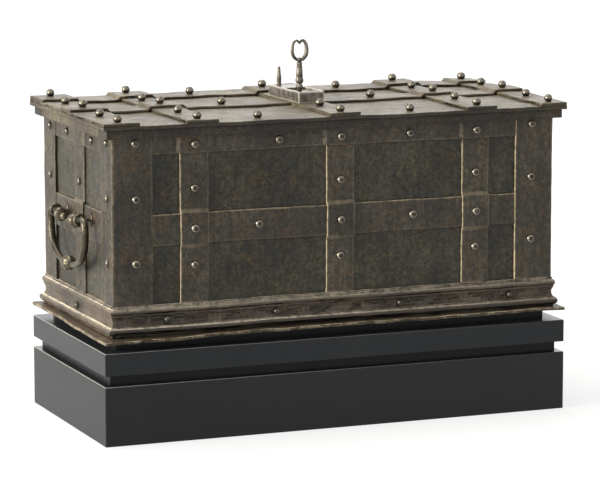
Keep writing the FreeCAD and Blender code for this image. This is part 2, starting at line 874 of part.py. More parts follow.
def make_lid_leaves():
    """Leaves under the lid's rear rail, each with the knuckle between the strap's two."""
    y = -HINGE_Y
    near = -BACK.depth - S.strap - S.lid_leaf_gap
    up = (BODY_TOP - S.lid_leaf, BODY_TOP)
    leaves = []
    for number, across in enumerate(wall_uprights(BACK), start=1):
        body = new_body("lid_leaf_%d" % number, BACK.turn)
        plate = rectangle((near - S.lid_leaf_width, near), up)
        add_prism(body, "YZ_Plane", across, plate)
        middle = spread((across[0] + across[1]) / 2, S.lid_knuckle / 2)
        neck = rectangle(spread(y, S.lid_leaf_neck / 2), (HINGE_Z, up[0] + S.lid_leaf / 2))
        add_prism(body, "YZ_Plane", middle, neck)
        add_prism(body, "YZ_Plane", middle, Circle(y, HINGE_Z, S.knuckle_radius))
        bore = Circle(y, HINGE_Z, S.hinge_pin_radius + S.pin_clearance)
        cut_prism(body, "YZ_Plane", (middle[0] - S.overrun, middle[1] + S.overrun), bore)
        leaves.append(body)
    return gather("lid_hinge_leaves", leaves)


def make_hinge_pins():
    pins = []
    for number, across in enumerate(wall_uprights(BACK), start=1):
        body = new_body("hinge_pin_%d" % number, BACK.turn)
        span = (across[0] - S.pin_overhang, across[1] + S.pin_overhang)
        add_prism(body, "YZ_Plane", span, Circle(-HINGE_Y, HINGE_Z, S.hinge_pin_radius))
        pins.append(body)
    return gather("hinge_pins", pins)


def rounded_path(corners, bends):
    """A wire of straight runs joined by tangent arcs, one bend for each inner corner."""
    edges = []
    start = corners[0]
    for before, corner, after, bend in zip(corners, corners[1:], corners[2:], bends):
        back = (before - corner).normalize()
        ahead = (after - corner).normalize()
        half_turn = (math.pi - back.getAngle(ahead)) / 2
        trim = bend * math.tan(half_turn)
        first = corner + back * trim
        last = corner + ahead * trim
        inward = (back + ahead).normalize()
        middle = corner + inward * (bend / math.cos(half_turn) - bend)
        edges.append(Part.makeLine(start, first))
        edges.append(Part.Arc(first, middle, last).toShape())
        start = last
    edges.append(Part.makeLine(start, corners[-1]))
    return Part.Wire(edges)


def make_bail(wall, shift):
    """A drop handle: bowed bar, knop at its middle, both ends turned in with ball tips.

    Each end slopes down from its shoulder, through the middle of its eye, to its tip.
    """
    out = float(-wall.depth - S.handle_out)
    axis = float(HANDLE_Z)
    centre = float(shift)
    slope = S.bail_tip_drop / (S.eye_half - S.bail_tip_half)
    shoulder = (S.bail_half - S.eye_half) * slope
    places = (
        (-S.bail_tip_half, -S.bail_tip_drop),
        (-S.bail_half, shoulder),
        (-S.bail_low_half, -S.bail_shoulder_drop),
        (0, -S.bail_drop),
        (S.bail_low_half, -S.bail_shoulder_drop),
        (S.bail_half, shoulder),
        (S.bail_tip_half, -S.bail_tip_drop),
    )
    corners = [FreeCAD.Vector(centre + float(u), out, axis + float(drop)) for u, drop in places]
    low = float(S.bail_low_bend)
    top = float(S.bail_top_bend)
    path = rounded_path(corners, (top, low, float(S.bail_middle_bend), low, top))
    radius = float(S.bail_bar_radius)
    start = corners[1] - corners[0]
    section = Part.Wire(Part.Circle(corners[0], start, radius).toShape())
    bar = path.makePipeShell([section], True, True)
    tips = [Part.makeSphere(float(S.bail_tip_radius), corners[i]) for i in (0, -1)]
    middle = path.discretize(3)[1]
    knop = turned_knop(middle, float(S.knop_half), float(S.bail_bar_radius))
    shape = bar.multiFuse(tips + [knop])
    return feature(wall.name + "_bail", shape.removeSplitter(), wall.turn)


def turned_knop(centre, half, waist):
    """A swelling with a collar at each end, turned about the bar that it sits on."""
    rise = float(S.knop_rise)
    ball = half * 2 / 3
    outline = [
        FreeCAD.Vector(-half, 0, 0),
        FreeCAD.Vector(-half, 0, waist),
        FreeCAD.Vector(-half, 0, waist + rise / 2),
        FreeCAD.Vector(-ball, 0, waist + rise / 2),
        FreeCAD.Vector(-ball, 0, waist + rise / 4),
    ]
    crown = FreeCAD.Vector(0, 0, waist + rise)
    mirrored = [FreeCAD.Vector(-p.x, 0, p.z) for p in reversed(outline)]
    left = Part.makePolygon(outline)
    arc = Part.Arc(outline[-1], crown, mirrored[0]).toShape()
    right = Part.makePolygon(mirrored)
    base = Part.makeLine(mirrored[-1], outline[0])
    face = Part.Face(Part.Wire(left.Edges + [arc] + right.Edges + [base]))
    solid = face.revolve(FreeCAD.Vector(), X_AXIS, 360)
    solid.translate(centre)
    return solid


def make_eye(label, wall, along):
    """An eye bolt: a ring round the bail's end, a stem and a round plate on the wall."""
    face = S.strap
    ring = doc.addObject("Part::Torus", label + "_ring")
    bind(ring, "Radius1", S.eye_hole_radius + S.eye_wire_radius)
    bind(ring, "Radius2", S.eye_wire_radius)
    ring.Placement = FreeCAD.Placement(FreeCAD.Vector(), FreeCAD.Rotation(Y_AXIS, 90))
    bind(ring, "Placement.Base.x", along)
    bind(ring, "Placement.Base.y", -wall.depth - S.handle_out)
    bind(ring, "Placement.Base.z", HANDLE_Z)
    stem = doc.addObject("Part::Cylinder", label + "_stem")
    bind(stem, "Radius", S.eye_stem_radius)
    bind(stem, "Height", S.handle_out - face - S.eye_hole_radius - S.eye_wire_radius)
    plate = doc.addObject("Part::Cylinder", label + "_plate")
    bind(plate, "Radius", S.eye_plate_radius)
    bind(plate, "Height", S.eye_plate)
    for piece in (stem, plate):
        piece.Placement = FreeCAD.Placement(FreeCAD.Vector(), FreeCAD.Rotation(X_AXIS, 90))
        bind(piece, "Placement.Base.x", along)
        bind(piece, "Placement.Base.y", -wall.depth - face)
        bind(piece, "Placement.Base.z", HANDLE_Z)
    eye = fuse(label, [ring, stem, plate])
    eye.Placement = FreeCAD.Placement(FreeCAD.Vector(), FreeCAD.Rotation(UP, wall.turn))
    return eye


def make_handles():
    """A bail on each end wall, and the four eyes that carry them."""
    bails = []
    eyes = []
    for wall, shift in ((LEFT, -S.handle_shift), (RIGHT, S.handle_shift)):
        bails.append(make_bail(wall, shift))
        for number, side in enumerate((-1, 1), start=1):
            label = "%s_eye_%d" % (wall.name, number)
            eyes.append(make_eye(label, wall, shift + side * S.eye_half))
    return bails + [gather("handle_eyes", eyes)]


def make_lid_frame():
    """Rails under the lid plate: two long ones, and two end ones between them."""
    up = (BODY_TOP, FRAME_TOP)
    long_out = (-FRAME_HALF_WIDTH, -FRAME_HALF_WIDTH + S.rail_width)
    end_out = (-FRAME_HALF_LENGTH, -FRAME_HALF_LENGTH + S.rail_width)
    long_span = spread(0, FRAME_HALF_LENGTH)
    end_span = spread(0, FRAME_HALF_WIDTH - S.rail_width)
    long_rails = [
        slab("lid_front_rail", 0, long_span, long_out, up),
        slab("lid_back_rail", 180, long_span, long_out, up),
    ]
    end_rails = [
        slab("lid_left_rail", -90, end_span, end_out, up),
        slab("lid_right_rail", 90, end_span, end_out, up),
    ]
    return [gather("lid_long_rails", long_rails), gather("lid_end_rails", end_rails)]


def cut_keyhole(body, up):
    """A round hole for the shank, with a slot towards the front for the bit."""
    span = (up[0] - S.overrun, up[1] + S.overrun)
    hole = S.shank_radius + S.shank_clearance
    cut_prism(body, "XY_Plane", span, Circle(S.lock_x, S.lock_y, hole))
    across = spread(S.lock_x, S.bit_thickness / 2 + S.shank_clearance)
    slot = rectangle(across, (S.lock_y - S.bit_reach - S.shank_clearance, S.lock_y))
    cut_prism(body, "XY_Plane", span, slot)


def make_lid_plate():
    body = new_body("lid_plate")
    outline = rectangle(spread(0, LID_HALF_LENGTH), spread(0, LID_HALF_WIDTH))
    add_prism(body, "XY_Plane", (FRAME_TOP, LID_TOP), outline)
    round_edges(body, at_height(FRAME_TOP), S.lid_edge)
    cut_keyhole(body, (FRAME_TOP, LID_TOP))
    return body


def make_cross_straps():
    """Five straps across the lid; the keyhole goes through the middle one."""
    straps = []
    for number, across in enumerate(LID_CROSSES, start=1):
        body = new_body("lid_cross_strap_%d" % number)
        outline = rectangle(across, spread(0, LID_HALF_WIDTH))
        add_prism(body, "XY_Plane", (LID_TOP, CROSS_TOP), outline)
        if across is LID_CROSSES[2]:
            cut_keyhole(body, (LID_TOP, CROSS_TOP))
        straps.append(body)
    return straps


def make_long_strap(label, across, span, bumps):
    """A strap along the lid that steps over the cross straps."""
    body = new_body(label)
    edge = strip(across, bumps, S.cross_strap, S.long_strap)
    corners = [(along, LID_TOP + height) for along, height in edge]
    add_prism(body, "XZ_Plane", span, corners)
    return body


def make_long_straps():
    """The middle strap, in two halves that stop at the middle cross strap, and the rear one."""
    middle = LID_CROSSES[2]
    ends = spread(0, LID_HALF_LENGTH)
    across = spread(S.middle_strap_shift, S.middle_strap / 2)
    halves = [
        make_long_strap("left_half", (ends[0], middle[0]), across, LID_CROSSES[:2]),
        make_long_strap("right_half", (middle[1], ends[1]), across, LID_CROSSES[3:]),
    ]
    rear = (REAR_STRAP_FRONT, LID_HALF_WIDTH)
    return [
        gather("lid_middle_strap", halves),
        make_long_strap("lid_rear_strap", ends, rear, LID_CROSSES),
    ]


def make_key_box():
    """The box over the keyhole, with an undercut channel for the cover along its top."""
    body = new_body("key_box")
    across = (BOX_LEFT, BOX_RIGHT)
    out = (BOX_FRONT, BOX_BACK)
    add_prism(body, "XY_Plane", (CROSS_TOP, BOX_TOP), rectangle(across, out))
    round_edges(body, at_height(BOX_TOP), S.box_edge)
    inner = (across[0] + S.channel_wall, across[1] - S.channel_wall)
    wide = (inner[0] - S.undercut, inner[1] + S.undercut)
    step = CHANNEL_LOW + S.undercut_height
    channel = [
        (wide[0], CHANNEL_LOW),
        (wide[1], CHANNEL_LOW),
        (wide[1], step),
        (inner[1], step),
        (inner[1], BOX_TOP + S.overrun),
        (inner[0], BOX_TOP + S.overrun),
        (inner[0], step),
        (wide[0], step),
    ]
    cut_prism(body, "XZ_Plane", (out[0] + S.channel_wall, out[1] - S.channel_wall), channel)
    cut_keyhole(body, (CROSS_TOP, CHANNEL_LOW))
    return body


def make_cover():
    """The keyhole's sliding cover, which runs in the channel, and its turned peg."""
    gap = S.slide_clearance
    inner = (BOX_LEFT + S.channel_wall + gap, BOX_RIGHT - S.channel_wall - gap)
    wide = (inner[0] - S.undercut, inner[1] + S.undercut)
    step = CHANNEL_LOW + S.cover_base
    top = step + S.cover_top
    section = [
        (wide[0], CHANNEL_LOW),
        (wide[1], CHANNEL_LOW),
        (wide[1], step),
        (inner[1], step),
        (inner[1], top),
        (inner[0], top),
        (inner[0], step),
        (wide[0], step),
    ]
    plate = new_body("cover_plate")
    back = BOX_BACK - S.channel_wall - S.cover_end_gap
    add_prism(plate, "XZ_Plane", (S.lock_y + S.cover_rest_gap, back), section)
    peg = new_body("cover_peg")
    place(peg, 0, S.lock_x - S.peg_shift, BOX_BACK - S.peg_inset, top)
    foot = S.peg_foot_radius
    lathe(
        peg,
        (0, 0),
        (foot, 0),
        (foot, S.cover_base),
        (S.peg_waist_radius, S.cover_base + S.cover_top),
        (S.peg_waist_radius, S.peg_height - foot),
        (S.peg_tip_radius, S.peg_height - foot, -S.slide_clearance),
        (S.peg_tip_radius, S.peg_height - S.undercut),
        (S.peg_waist_radius, S.peg_height),
        (0, S.peg_height),
    )
    return fuse("keyhole_cover", [plate, peg])


def key_heights():
    """Heights on the key, from its tip up: tip, neck's foot and top, ball, stem, boss."""
    tip = BRIDGE_TOP + S.key_gap
    neck = BOX_TOP + S.neck_height
    ball = neck + S.ball_height
    stem = ball + S.stem_height
    return tip, neck, ball, stem, stem + S.boss_height


def make_key():
    """A piped key: bored shank and bit, ball, tapered stem, boss and an oval bow."""
    tip, neck, ball, stem, boss = key_heights()
    shank = new_body("key_shank")
    place(shank, 0, S.lock_x, S.lock_y, 0)
    lathe(
        shank,
        (0, tip),
        (S.shank_radius, tip),
        (S.shank_radius, neck, -S.ball_rise),
        (S.shank_radius, ball),
        (S.stem_radius, ball + S.boss_rise),
        (S.stem_top_radius, stem, -S.boss_rise),
        (S.stem_top_radius, boss),
        (0, boss),
    )
    low = tip + S.bit_low
    bit = rectangle(spread(0, S.bit_thickness / 2), (-S.bit_reach, 0))
    add_prism(shank, "XY_Plane", (low, low + S.bit_height), bit)
    bore = Circle(0, 0, S.drill_pin_radius + S.drill_clearance)
    cut_prism(shank, "XY_Plane", (tip - S.overrun, tip + S.drill_bore_depth), bore)
    return fuse("key", [shank, make_bow(float(boss))])


def make_bow(low):
    """The key's oval ring, with a cusp that points down inside its top."""
    bar = float(S.bow_bar_radius)
    tall = float(S.bow_height) / 2 - bar
    wide = float(S.bow_width) / 2 - bar
    x = float(S.lock_x)
    y = float(S.lock_y)
    sunk = float(S.boss_rise)
    centre = FreeCAD.Vector(x, y, low - sunk + tall + bar)
    oval = Part.Ellipse(FreeCAD.Vector(), tall, wide).toShape()
    section = Part.Circle(FreeCAD.Vector(tall, 0, 0), Y_AXIS, bar).toShape()
    ring = Part.Wire(oval).makePipeShell([Part.Wire(section)], True, True)
    ring.rotate(FreeCAD.Vector(), Y_AXIS, -90)
    ring.rotate(FreeCAD.Vector(), UP, 90)
    ring.translate(centre)
    tip = FreeCAD.Vector(x, y, centre.z + tall - float(S.cusp_length))
    cusp = Part.makeCone(bar / 2, bar, float(S.cusp_length), tip)
    return feature("key_bow", ring.fuse(cusp))


def make_lock_plate():
    """The plate under the lid that carries the lock, with the hub's bearing in it."""
    body = new_body("lock_plate")
    across = spread(0, FRAME_HALF_LENGTH - S.rail_width - S.lock_plate_end_gap)
    out = spread(0, FRAME_HALF_WIDTH - S.rail_width - S.lock_plate_side_gap)
    add_prism(body, "XY_Plane", (LOCK_LOW, FRAME_TOP), rectangle(across, out))
    hole = Circle(S.lock_x, S.lock_y, S.hub_radius + S.hub_clearance)
    cut_prism(body, "XY_Plane", (LOCK_LOW - S.overrun, FRAME_TOP + S.overrun), hole)
    return body


def make_cam():
    """A disc on a hub that the bit turns, with crank pins up and down for the bolts."""
    body = new_body("cam")
    hub = (BRIDGE_TOP + S.end_gap, FRAME_TOP - S.end_gap)
    add_prism(body, "XY_Plane", hub, Circle(S.lock_x, S.lock_y, S.hub_radius))
    rim = S.crank_radius + S.crank_pin_radius + S.cam_margin
    disc = Circle(S.lock_x, S.lock_y, rim)
    add_prism(body, "XY_Plane", (CAM_LOW, CAM_TOP), disc)
    for name, (along, out) in CRANK_SHARES.items():
        x = S.lock_x + S.crank_radius * along
        y = S.lock_y + S.crank_radius * out
        upper = (CAM_TOP, CAM_TOP + S.crank_pin_height)
        lower = (CAM_LOW - S.crank_pin_height, CAM_LOW)
        span = upper if name in ("right", "left") else lower
        add_prism(body, "XY_Plane", span, Circle(x, y, S.crank_pin_radius))
    cut_keyhole(body, hub)
    return body


def forked_bar(far):
    """A bolt's bar as (travel, across) corners from the lock's axis.

    It runs from a tine behind the crank pin to its far end, and its notch for the pin
    opens towards the axis.
    """
    pin = -S.crank_radius * DIAGONAL_SHARE
    notch = spread(pin, S.crank_pin_radius + S.notch_gap)
    return [
        (notch[0] - S.tine, FORK_NEAR),
        (notch[0], FORK_NEAR),
        (notch[0], FORK_NOTCH),
        (notch[1], FORK_NOTCH),
        (notch[1], FORK_NEAR),
        (far, FORK_NEAR),
        (far, FORK_FAR),
        (notch[0] - S.tine, FORK_FAR),
    ]


def bar_span(centre, side):
    """A forked bar's span across its travel, for the bolt on this side of the lock."""
    return sorted((centre + side * FORK_NEAR, centre + side * FORK_FAR), key=float)


def make_side_bolt(name, side):
    """A bolt for the left or right rim: a forked bar, a step down and the head."""
    body = new_body(name + "_bolt")
    tip = S.body_length / 2 - S.rim_reach - S.bolt_rest_gap
    corners = forked_bar(SIDE_BACK - side * S.lock_x)
    outline = [(S.lock_x + side * u, S.lock_y + side * v) for u, v in corners]
    bar = (UPPER_BAR_LOW, UPPER_BAR_LOW + S.bolt_bar)
    add_prism(body, "XY_Plane", bar, outline)
    heel = SIDE_BACK - S.step_length
    profile = [
        (side * heel, HEAD_LOW),
        (side * tip, HEAD_LOW),
        (side * tip, HEAD_TOP),
        (side * SIDE_BACK, HEAD_TOP),
        (side * SIDE_BACK, UPPER_BAR_LOW),
        (side * heel, UPPER_BAR_LOW),
    ]
    add_prism(body, "XZ_Plane", bar_span(S.lock_y, side), profile)
    return body


def make_rake_bolt(name, side):
    """A bolt for the front or rear rim: forked bar, crossbar, three heads, two tails.

    The bar is joggled down before the crossbar, so that all of the rake passes under
    the rim.
    """
    body = new_body(name + "_bolt")
    tip = S.body_width / 2 - S.rim_reach - S.bolt_rest_gap
    corners = forked_bar(RAKE_HEEL - side * S.lock_y)
    outline = [(S.lock_x - side * v, S.lock_y + side * u) for u, v in corners]
    add_prism(body, "XY_Plane", (LOWER_BAR_LOW, LOWER_BAR_TOP), outline)
    joggle = [
        (side * RAKE_HEEL, LOWER_BAR_LOW),
        (side * RAKE_TOE, RAKE_LOW),
        (side * RAKE_INNER, RAKE_LOW),
        (side * RAKE_INNER, HEAD_TOP),
        (side * RAKE_TOE, HEAD_TOP),
        (side * RAKE_HEEL, LOWER_BAR_TOP),
    ]
    add_prism(body, "YZ_Plane", bar_span(S.lock_x, -side), joggle)
    ends = spread(0, S.body_length / 2 - S.crossbar_inset)
    tail_end = RAKE_BACK - S.tail_length
    rake = [(ends[0], side * RAKE_BACK), (ends[1], side * RAKE_BACK), (ends[1], side * RAKE_INNER)]
    for centre in (OUTER_HEAD, -OUTER_HEAD):
        tail = spread(centre, S.head_half)
        rake.append((tail[1], side * RAKE_INNER))
        rake.append((tail[1], side * tail_end))
        rake.append((tail[0], side * tail_end))
        rake.append((tail[0], side * RAKE_INNER))
    rake.append((ends[0], side * RAKE_INNER))
    add_prism(body, "XY_Plane", (RAKE_LOW, HEAD_TOP), rake)
    head = rectangle((side * RAKE_INNER, side * tip), (HEAD_LOW, HEAD_TOP))
    for centre in (-OUTER_HEAD, as_size(0), OUTER_HEAD):
        add_prism(body, "YZ_Plane", spread(centre, S.head_half), head)
    return body


def make_staple(label, plane, across, low, along):
    """A staple under the lock plate round a bar; across is the bar's span."""
    slot = (across[0] - S.guide_gap, across[1] + S.guide_gap)
    wide = (slot[0] - S.guide_wall, slot[1] + S.guide_wall)
    floor = low - S.guide_gap
    section = [
        (wide[0], floor - S.guide_wall),
        (wide[1], floor - S.guide_wall),
        (wide[1], LOCK_LOW),
        (slot[1], LOCK_LOW),
        (slot[1], floor),
        (slot[0], floor),
        (slot[0], LOCK_LOW),
        (wide[0], LOCK_LOW),
    ]
    body = new_body(label)
    add_prism(body, plane, spread(along, S.guide_width / 2), section)
    return body


def make_guides():
    """Staples that the bolts slide in: two to each side bolt, three to each rake."""
    staples = []
    for side in (-1, 1):
        name = "right" if side > 0 else "left"
        across = bar_span(S.lock_y, side)
        far = S.body_length / 2 - S.far_guide_inset
        for number, along in enumerate((S.near_guide_reach, far), start=1):
            label = "%s_staple_%d" % (name, number)
            staples.append(make_staple(label, "YZ_Plane", across, UPPER_BAR_LOW, side * along))
    for side in (-1, 1):
        name = "rear" if side > 0 else "front"
        tail_guide = RAKE_BACK - S.tail_guide_gap
        spans = [
            (spread(-OUTER_HEAD, S.head_half), RAKE_LOW, tail_guide),
            (bar_span(S.lock_x, -side), LOWER_BAR_LOW, RAKE_HEEL - S.centre_guide_gap),
            (spread(OUTER_HEAD, S.head_half), RAKE_LOW, tail_guide),
        ]
        for number, (across, low, along) in enumerate(spans, start=1):
            label = "%s_staple_%d" % (name, number)
            staples.append(make_staple(label, "XZ_Plane", across, low, side * along))
    return gather("bolt_staples", staples)


def make_bridge():
    """The plate below the cam, on four pillars, with the pin that the key slides over."""
    body = new_body("lock_bridge")
    half = PILLAR_HALF + S.pillar_radius + S.bridge_margin
    outline = rectangle(spread(S.lock_x, half), spread(S.lock_y, half))
    add_prism(body, "XY_Plane", (BRIDGE_TOP - S.bridge, BRIDGE_TOP), outline)
    for x in spread(S.lock_x, PILLAR_HALF):
        for y in spread(S.lock_y, PILLAR_HALF):
            pillar = Circle(x, y, S.pillar_radius)
            add_prism(body, "XY_Plane", (BRIDGE_TOP, LOCK_LOW), pillar)
    pin = Circle(S.lock_x, S.lock_y, S.drill_pin_radius)
    add_prism(body, "XY_Plane", (BRIDGE_TOP, BRIDGE_TOP + S.drill_pin_height), pin)
    return body


def stud(radius, height, shares, spot, normal):
    """A hammered stud as a stack of ten-sided rings, set on a spot and along a normal."""
    rings = []
    for radius_share, height_share in shares:
        ring = []
        for side in range(STUD_SIDES + 1):
            angle = 2 * math.pi * side / STUD_SIDES
            reach = float(radius) * radius_share
            ring.append(FreeCAD.Vector(reach * math.cos(angle), reach * math.sin(angle),
                                       float(height) * height_share))
        rings.append(Part.makePolygon(ring))
    solid = Part.makeLoft(rings, True, True)
    solid.Placement = FreeCAD.Placement(spot, FreeCAD.Rotation(UP, normal))
    return solid


def wall_stud(wall, along, out, up):
    """A stud on a wall; out is its seat's distance from the wall's face."""
    turn = FreeCAD.Rotation(UP, wall.turn)
    spot = turn.multVec(point(along, -wall.depth - out, up))
    normal = turn.multVec(-Y_AXIS)
    return stud(S.wall_stud_radius, S.wall_stud_height, WALL_STUD_SHARES, spot, normal)


def between(low, high, share=0.5):
    """A place between two others, at a share of the way from the first."""
    return low + (high - low) * share


def long_wall_studs(wall):
    """The front's or back's studs: on the bands, down the uprights and the corners."""
    flip = 1 if wall is FRONT else -1
    flat = S.strap
    raised = S.strap + S.strap
    band = BODY_TOP - S.top_band / 2
    low, high = mid_band_span(wall)
    upper = between(high, BODY_TOP - S.top_band, UPPER_ROW_SHARE)
    lower = between(STRAP_LOW, low, LOWER_ROW_SHARE)
    middle = between(low, high)
    places = []
    for centre in UPRIGHTS:
        places += [(centre, raised, middle), (centre, flat, upper), (centre, flat, lower)]
        if wall is FRONT:
            places.append((centre, raised, band))
    left_gap = between(UPRIGHTS[0], UPRIGHTS[1])
    right_gap = between(UPRIGHTS[1], UPRIGHTS[2])
    for along in (left_gap + S.band_left_shift, right_gap + S.band_right_shift):
        places.append((along, flat, band))
    for along in (left_gap - S.mid_left_shift, right_gap + S.mid_right_shift):
        places.append((along, flat, middle))
    corner_rows = (
        BODY_TOP - S.corner_top_inset,
        BODY_TOP - S.corner_upper_inset,
        BODY_LOW + S.corner_lower_height,
    )
    for along in spread(0, S.body_length / 2 - S.corner_stud_inset):
        places += [(along, S.corner_strap, up) for up in corner_rows]
    return [wall_stud(wall, flip * along, out, up) for along, out, up in places]


def end_wall_studs(wall):
    """An end's studs; the places are along Y, which the left wall sees turned round."""
    flip = 1 if wall is RIGHT else -1
    half = S.body_width / 2
    band = BODY_TOP - S.top_band / 2
    upright = spread(S.end_upright_shift, S.end_upright / 2)
    front_gap = between(-half + S.corner_front_leg, upright[0])
    back_gap = between(upright[1], half - S.corner_back_leg)
    front = -half + S.end_front_inset
    back = half - S.end_back_inset
    row = between(mid_band_span(wall)[1], BODY_TOP - S.top_band, END_ROW_SHARE)
    places = [
        (front_gap + S.end_band_front_shift, S.strap, band),
        (back_gap - S.end_band_back_shift, S.strap, band),
        (back, S.corner_strap, band),
        (back, S.corner_strap, BODY_TOP - S.end_back_upper_inset),
        (front, S.corner_strap, BODY_TOP - S.corner_top_inset),
        (front, S.corner_strap, BODY_TOP - S.corner_upper_inset),
        (front, S.corner_strap, BODY_LOW + S.corner_lower_height),
        (S.end_upright_shift, S.strap, row),
    ]
    return [wall_stud(wall, flip * along, out, up) for along, out, up in places]


def cove_studs():
    """Studs in the moulding's cove, on a foot narrow enough to reach its floor."""
    up = BODY_LOW + S.foot_height + S.torus_height + S.cove_height / 2
    out = S.foot_out - S.cove_depth + S.cove_depth * COVE_SEAT_SHARE
    places = [(FRONT, S.body_length * share) for share in COVE_STUD_PLACE_SHARES]
    places += [(BACK, -S.body_length * share) for share in COVE_STUD_PLACE_SHARES]
    places += [(LEFT, as_size(0)), (RIGHT, as_size(0))]
    studs = []
    for wall, along in places:
        turn = FreeCAD.Rotation(UP, wall.turn)
        spot = turn.multVec(point(along, -wall.depth - out, up))
        normal = turn.multVec(-Y_AXIS)
        shares = COVE_STUD_SHARES
        studs.append(stud(S.wall_stud_radius, S.cove_stud_height, shares, spot, normal))
    return studs


def make_body_studs():
    studs = long_wall_studs(FRONT) + long_wall_studs(BACK)
    studs += end_wall_studs(LEFT) + end_wall_studs(RIGHT) + cove_studs()
    return feature("body_studs", Part.makeCompound(studs))


def make_lid_studs():
    """Ball-like studs where the lid's straps cross, and a few between them."""
    crosses = (
        -LID_HALF_LENGTH + S.lid_left_inset,
        CROSS_LEFT - S.left_stud_shift,
        S.cross_middle_shift - S.middle_stud_shift,
        CROSS_RIGHT - S.right_stud_shift,
        LID_HALF_LENGTH - S.lid_right_inset,
    )
    places = []
    for x in crosses:
        second = -LID_HALF_WIDTH + S.row_second_inset
        if x is crosses[2]:
            second = BOX_FRONT - S.box_stud_gap
        else:
            places.append((x, S.middle_strap_shift, HUMP_TOP))
        places.append((x, -LID_HALF_WIDTH + S.row_front_inset, CROSS_TOP))
        places.append((x, second, CROSS_TOP))
        places.append((x, REAR_STRAP_FRONT - S.row_fourth_gap, CROSS_TOP))
        places.append((x, LID_HALF_WIDTH - S.row_back_inset, HUMP_TOP))
    left = between(CROSS_LEFT, S.cross_middle_shift) - S.between_left_shift
    right = between(S.cross_middle_shift, CROSS_RIGHT) + S.between_right_shift
    for x in (left, right):
        places.append((x, -LID_HALF_WIDTH + S.plate_stud_inset, LID_TOP))
        places.append((x, S.middle_strap_shift, LONG_TOP))
        places.append((x, LID_HALF_WIDTH - S.rear_stud_inset, LONG_TOP))
    shares = LID_STUD_SHARES
    size = (S.lid_stud_radius, S.lid_stud_height)
    studs = [stud(*size, shares, point(x, y, z), UP) for x, y, z in places]
    return feature("lid_studs", Part.makeCompound(studs))


def main():
    nodes = make_plinth() + [make_board()] + make_panels() + [make_rim()]
    nodes += [make_moulding(wall) for wall in WALLS]
    nodes += make_corners()
    for wall in WALLS:
        nodes += make_bands(wall)
    nodes += make_uprights() + [make_hinge_straps(), make_lid_leaves(), make_hinge_pins()]
    nodes += make_handles() + make_lid_frame() + [make_lid_plate()]
    nodes += make_cross_straps() + make_long_straps()
    nodes += [make_key_box(), make_cover(), make_key()]
    nodes += [make_lock_plate(), make_cam(), make_guides(), make_bridge()]
    nodes += [make_side_bolt("left", -1), make_side_bolt("right", 1)]
    nodes += [make_rake_bolt("front", -1), make_rake_bolt("rear", 1)]
    nodes += [make_body_studs(), make_lid_studs()]
    export(nodes)


def export(nodes):
    """Checks every object of the document, then writes one file for each node."""
    doc.recompute()
    for thing in doc.Objects:
        if {"Invalid", "Error"} & set(thing.State):
            raise RuntimeError("%s is %s" % (thing.Label, thing.State))
    for node in nodes:
        if node.Shape.isNull() or not node.Shape.isValid():
            raise RuntimeError("%s has no valid shape" % node.Label)
    os.makedirs("parts", exist_ok=True)
    for node in nodes:
        node.Shape.exportStep("parts/%s.step" % node.Label)


main()
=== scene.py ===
import json
import math
import random

import bmesh
import bpy
from mathutils import Matrix, Vector, noise

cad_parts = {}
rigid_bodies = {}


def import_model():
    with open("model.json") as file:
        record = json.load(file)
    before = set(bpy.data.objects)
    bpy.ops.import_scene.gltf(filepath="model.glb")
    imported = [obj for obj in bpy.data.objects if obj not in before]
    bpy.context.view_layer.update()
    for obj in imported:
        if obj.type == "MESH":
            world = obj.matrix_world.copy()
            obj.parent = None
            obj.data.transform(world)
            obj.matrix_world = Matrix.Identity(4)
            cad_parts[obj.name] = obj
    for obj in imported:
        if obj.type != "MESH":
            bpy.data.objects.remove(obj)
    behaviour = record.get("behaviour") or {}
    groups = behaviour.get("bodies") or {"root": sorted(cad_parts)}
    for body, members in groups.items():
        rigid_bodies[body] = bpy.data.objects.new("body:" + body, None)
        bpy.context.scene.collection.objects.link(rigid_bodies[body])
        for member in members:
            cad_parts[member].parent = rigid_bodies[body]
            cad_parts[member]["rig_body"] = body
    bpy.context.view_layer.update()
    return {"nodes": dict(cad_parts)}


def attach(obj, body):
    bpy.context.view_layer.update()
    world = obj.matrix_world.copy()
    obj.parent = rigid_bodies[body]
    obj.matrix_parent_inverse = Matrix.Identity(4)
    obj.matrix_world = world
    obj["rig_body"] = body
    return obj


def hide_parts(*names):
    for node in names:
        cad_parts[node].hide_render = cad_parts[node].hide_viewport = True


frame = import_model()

FULL_TURN = 2 * math.pi
UP = Vector((0.0, 0.0, 1.0))
WHITE = (1.0, 1.0, 1.0, 1.0)

# The camera, fitted to the photograph: metres, with its lens and film in millimetres.
TARGET = Vector((0.00494, 0.0, 0.31074))
AZIMUTH = math.radians(-22.0)
ELEVATION = math.radians(9.18)
DISTANCE = 6.1933
LENS = 199.5
FILM_WIDTH = 36.0
CLIP_START = 0.1
CLIP_END = 200.0


def make_camera():
    data = bpy.data.cameras.new("camera")
    camera = bpy.data.objects.new("camera", data)
    bpy.context.scene.collection.objects.link(camera)
    back = Vector((
        math.sin(AZIMUTH) * math.cos(ELEVATION),
        -math.cos(AZIMUTH) * math.cos(ELEVATION),
        math.sin(ELEVATION),
    ))
    camera.location = TARGET + back * DISTANCE
    camera.rotation_mode = "QUATERNION"
    camera.rotation_quaternion = (-back).to_track_quat("-Z", "Y")
    data.lens = LENS
    data.sensor_width = FILM_WIDTH
    data.clip_start = CLIP_START
    data.clip_end = CLIP_END
    bpy.context.scene.camera = camera


# Node helpers.
def feed(tree, socket, value):
    """Gives a socket another node's output, or a number or colour of its own."""
    if isinstance(value, bpy.types.NodeSocket):
        tree.links.new(value, socket)
    else:
        socket.default_value = value


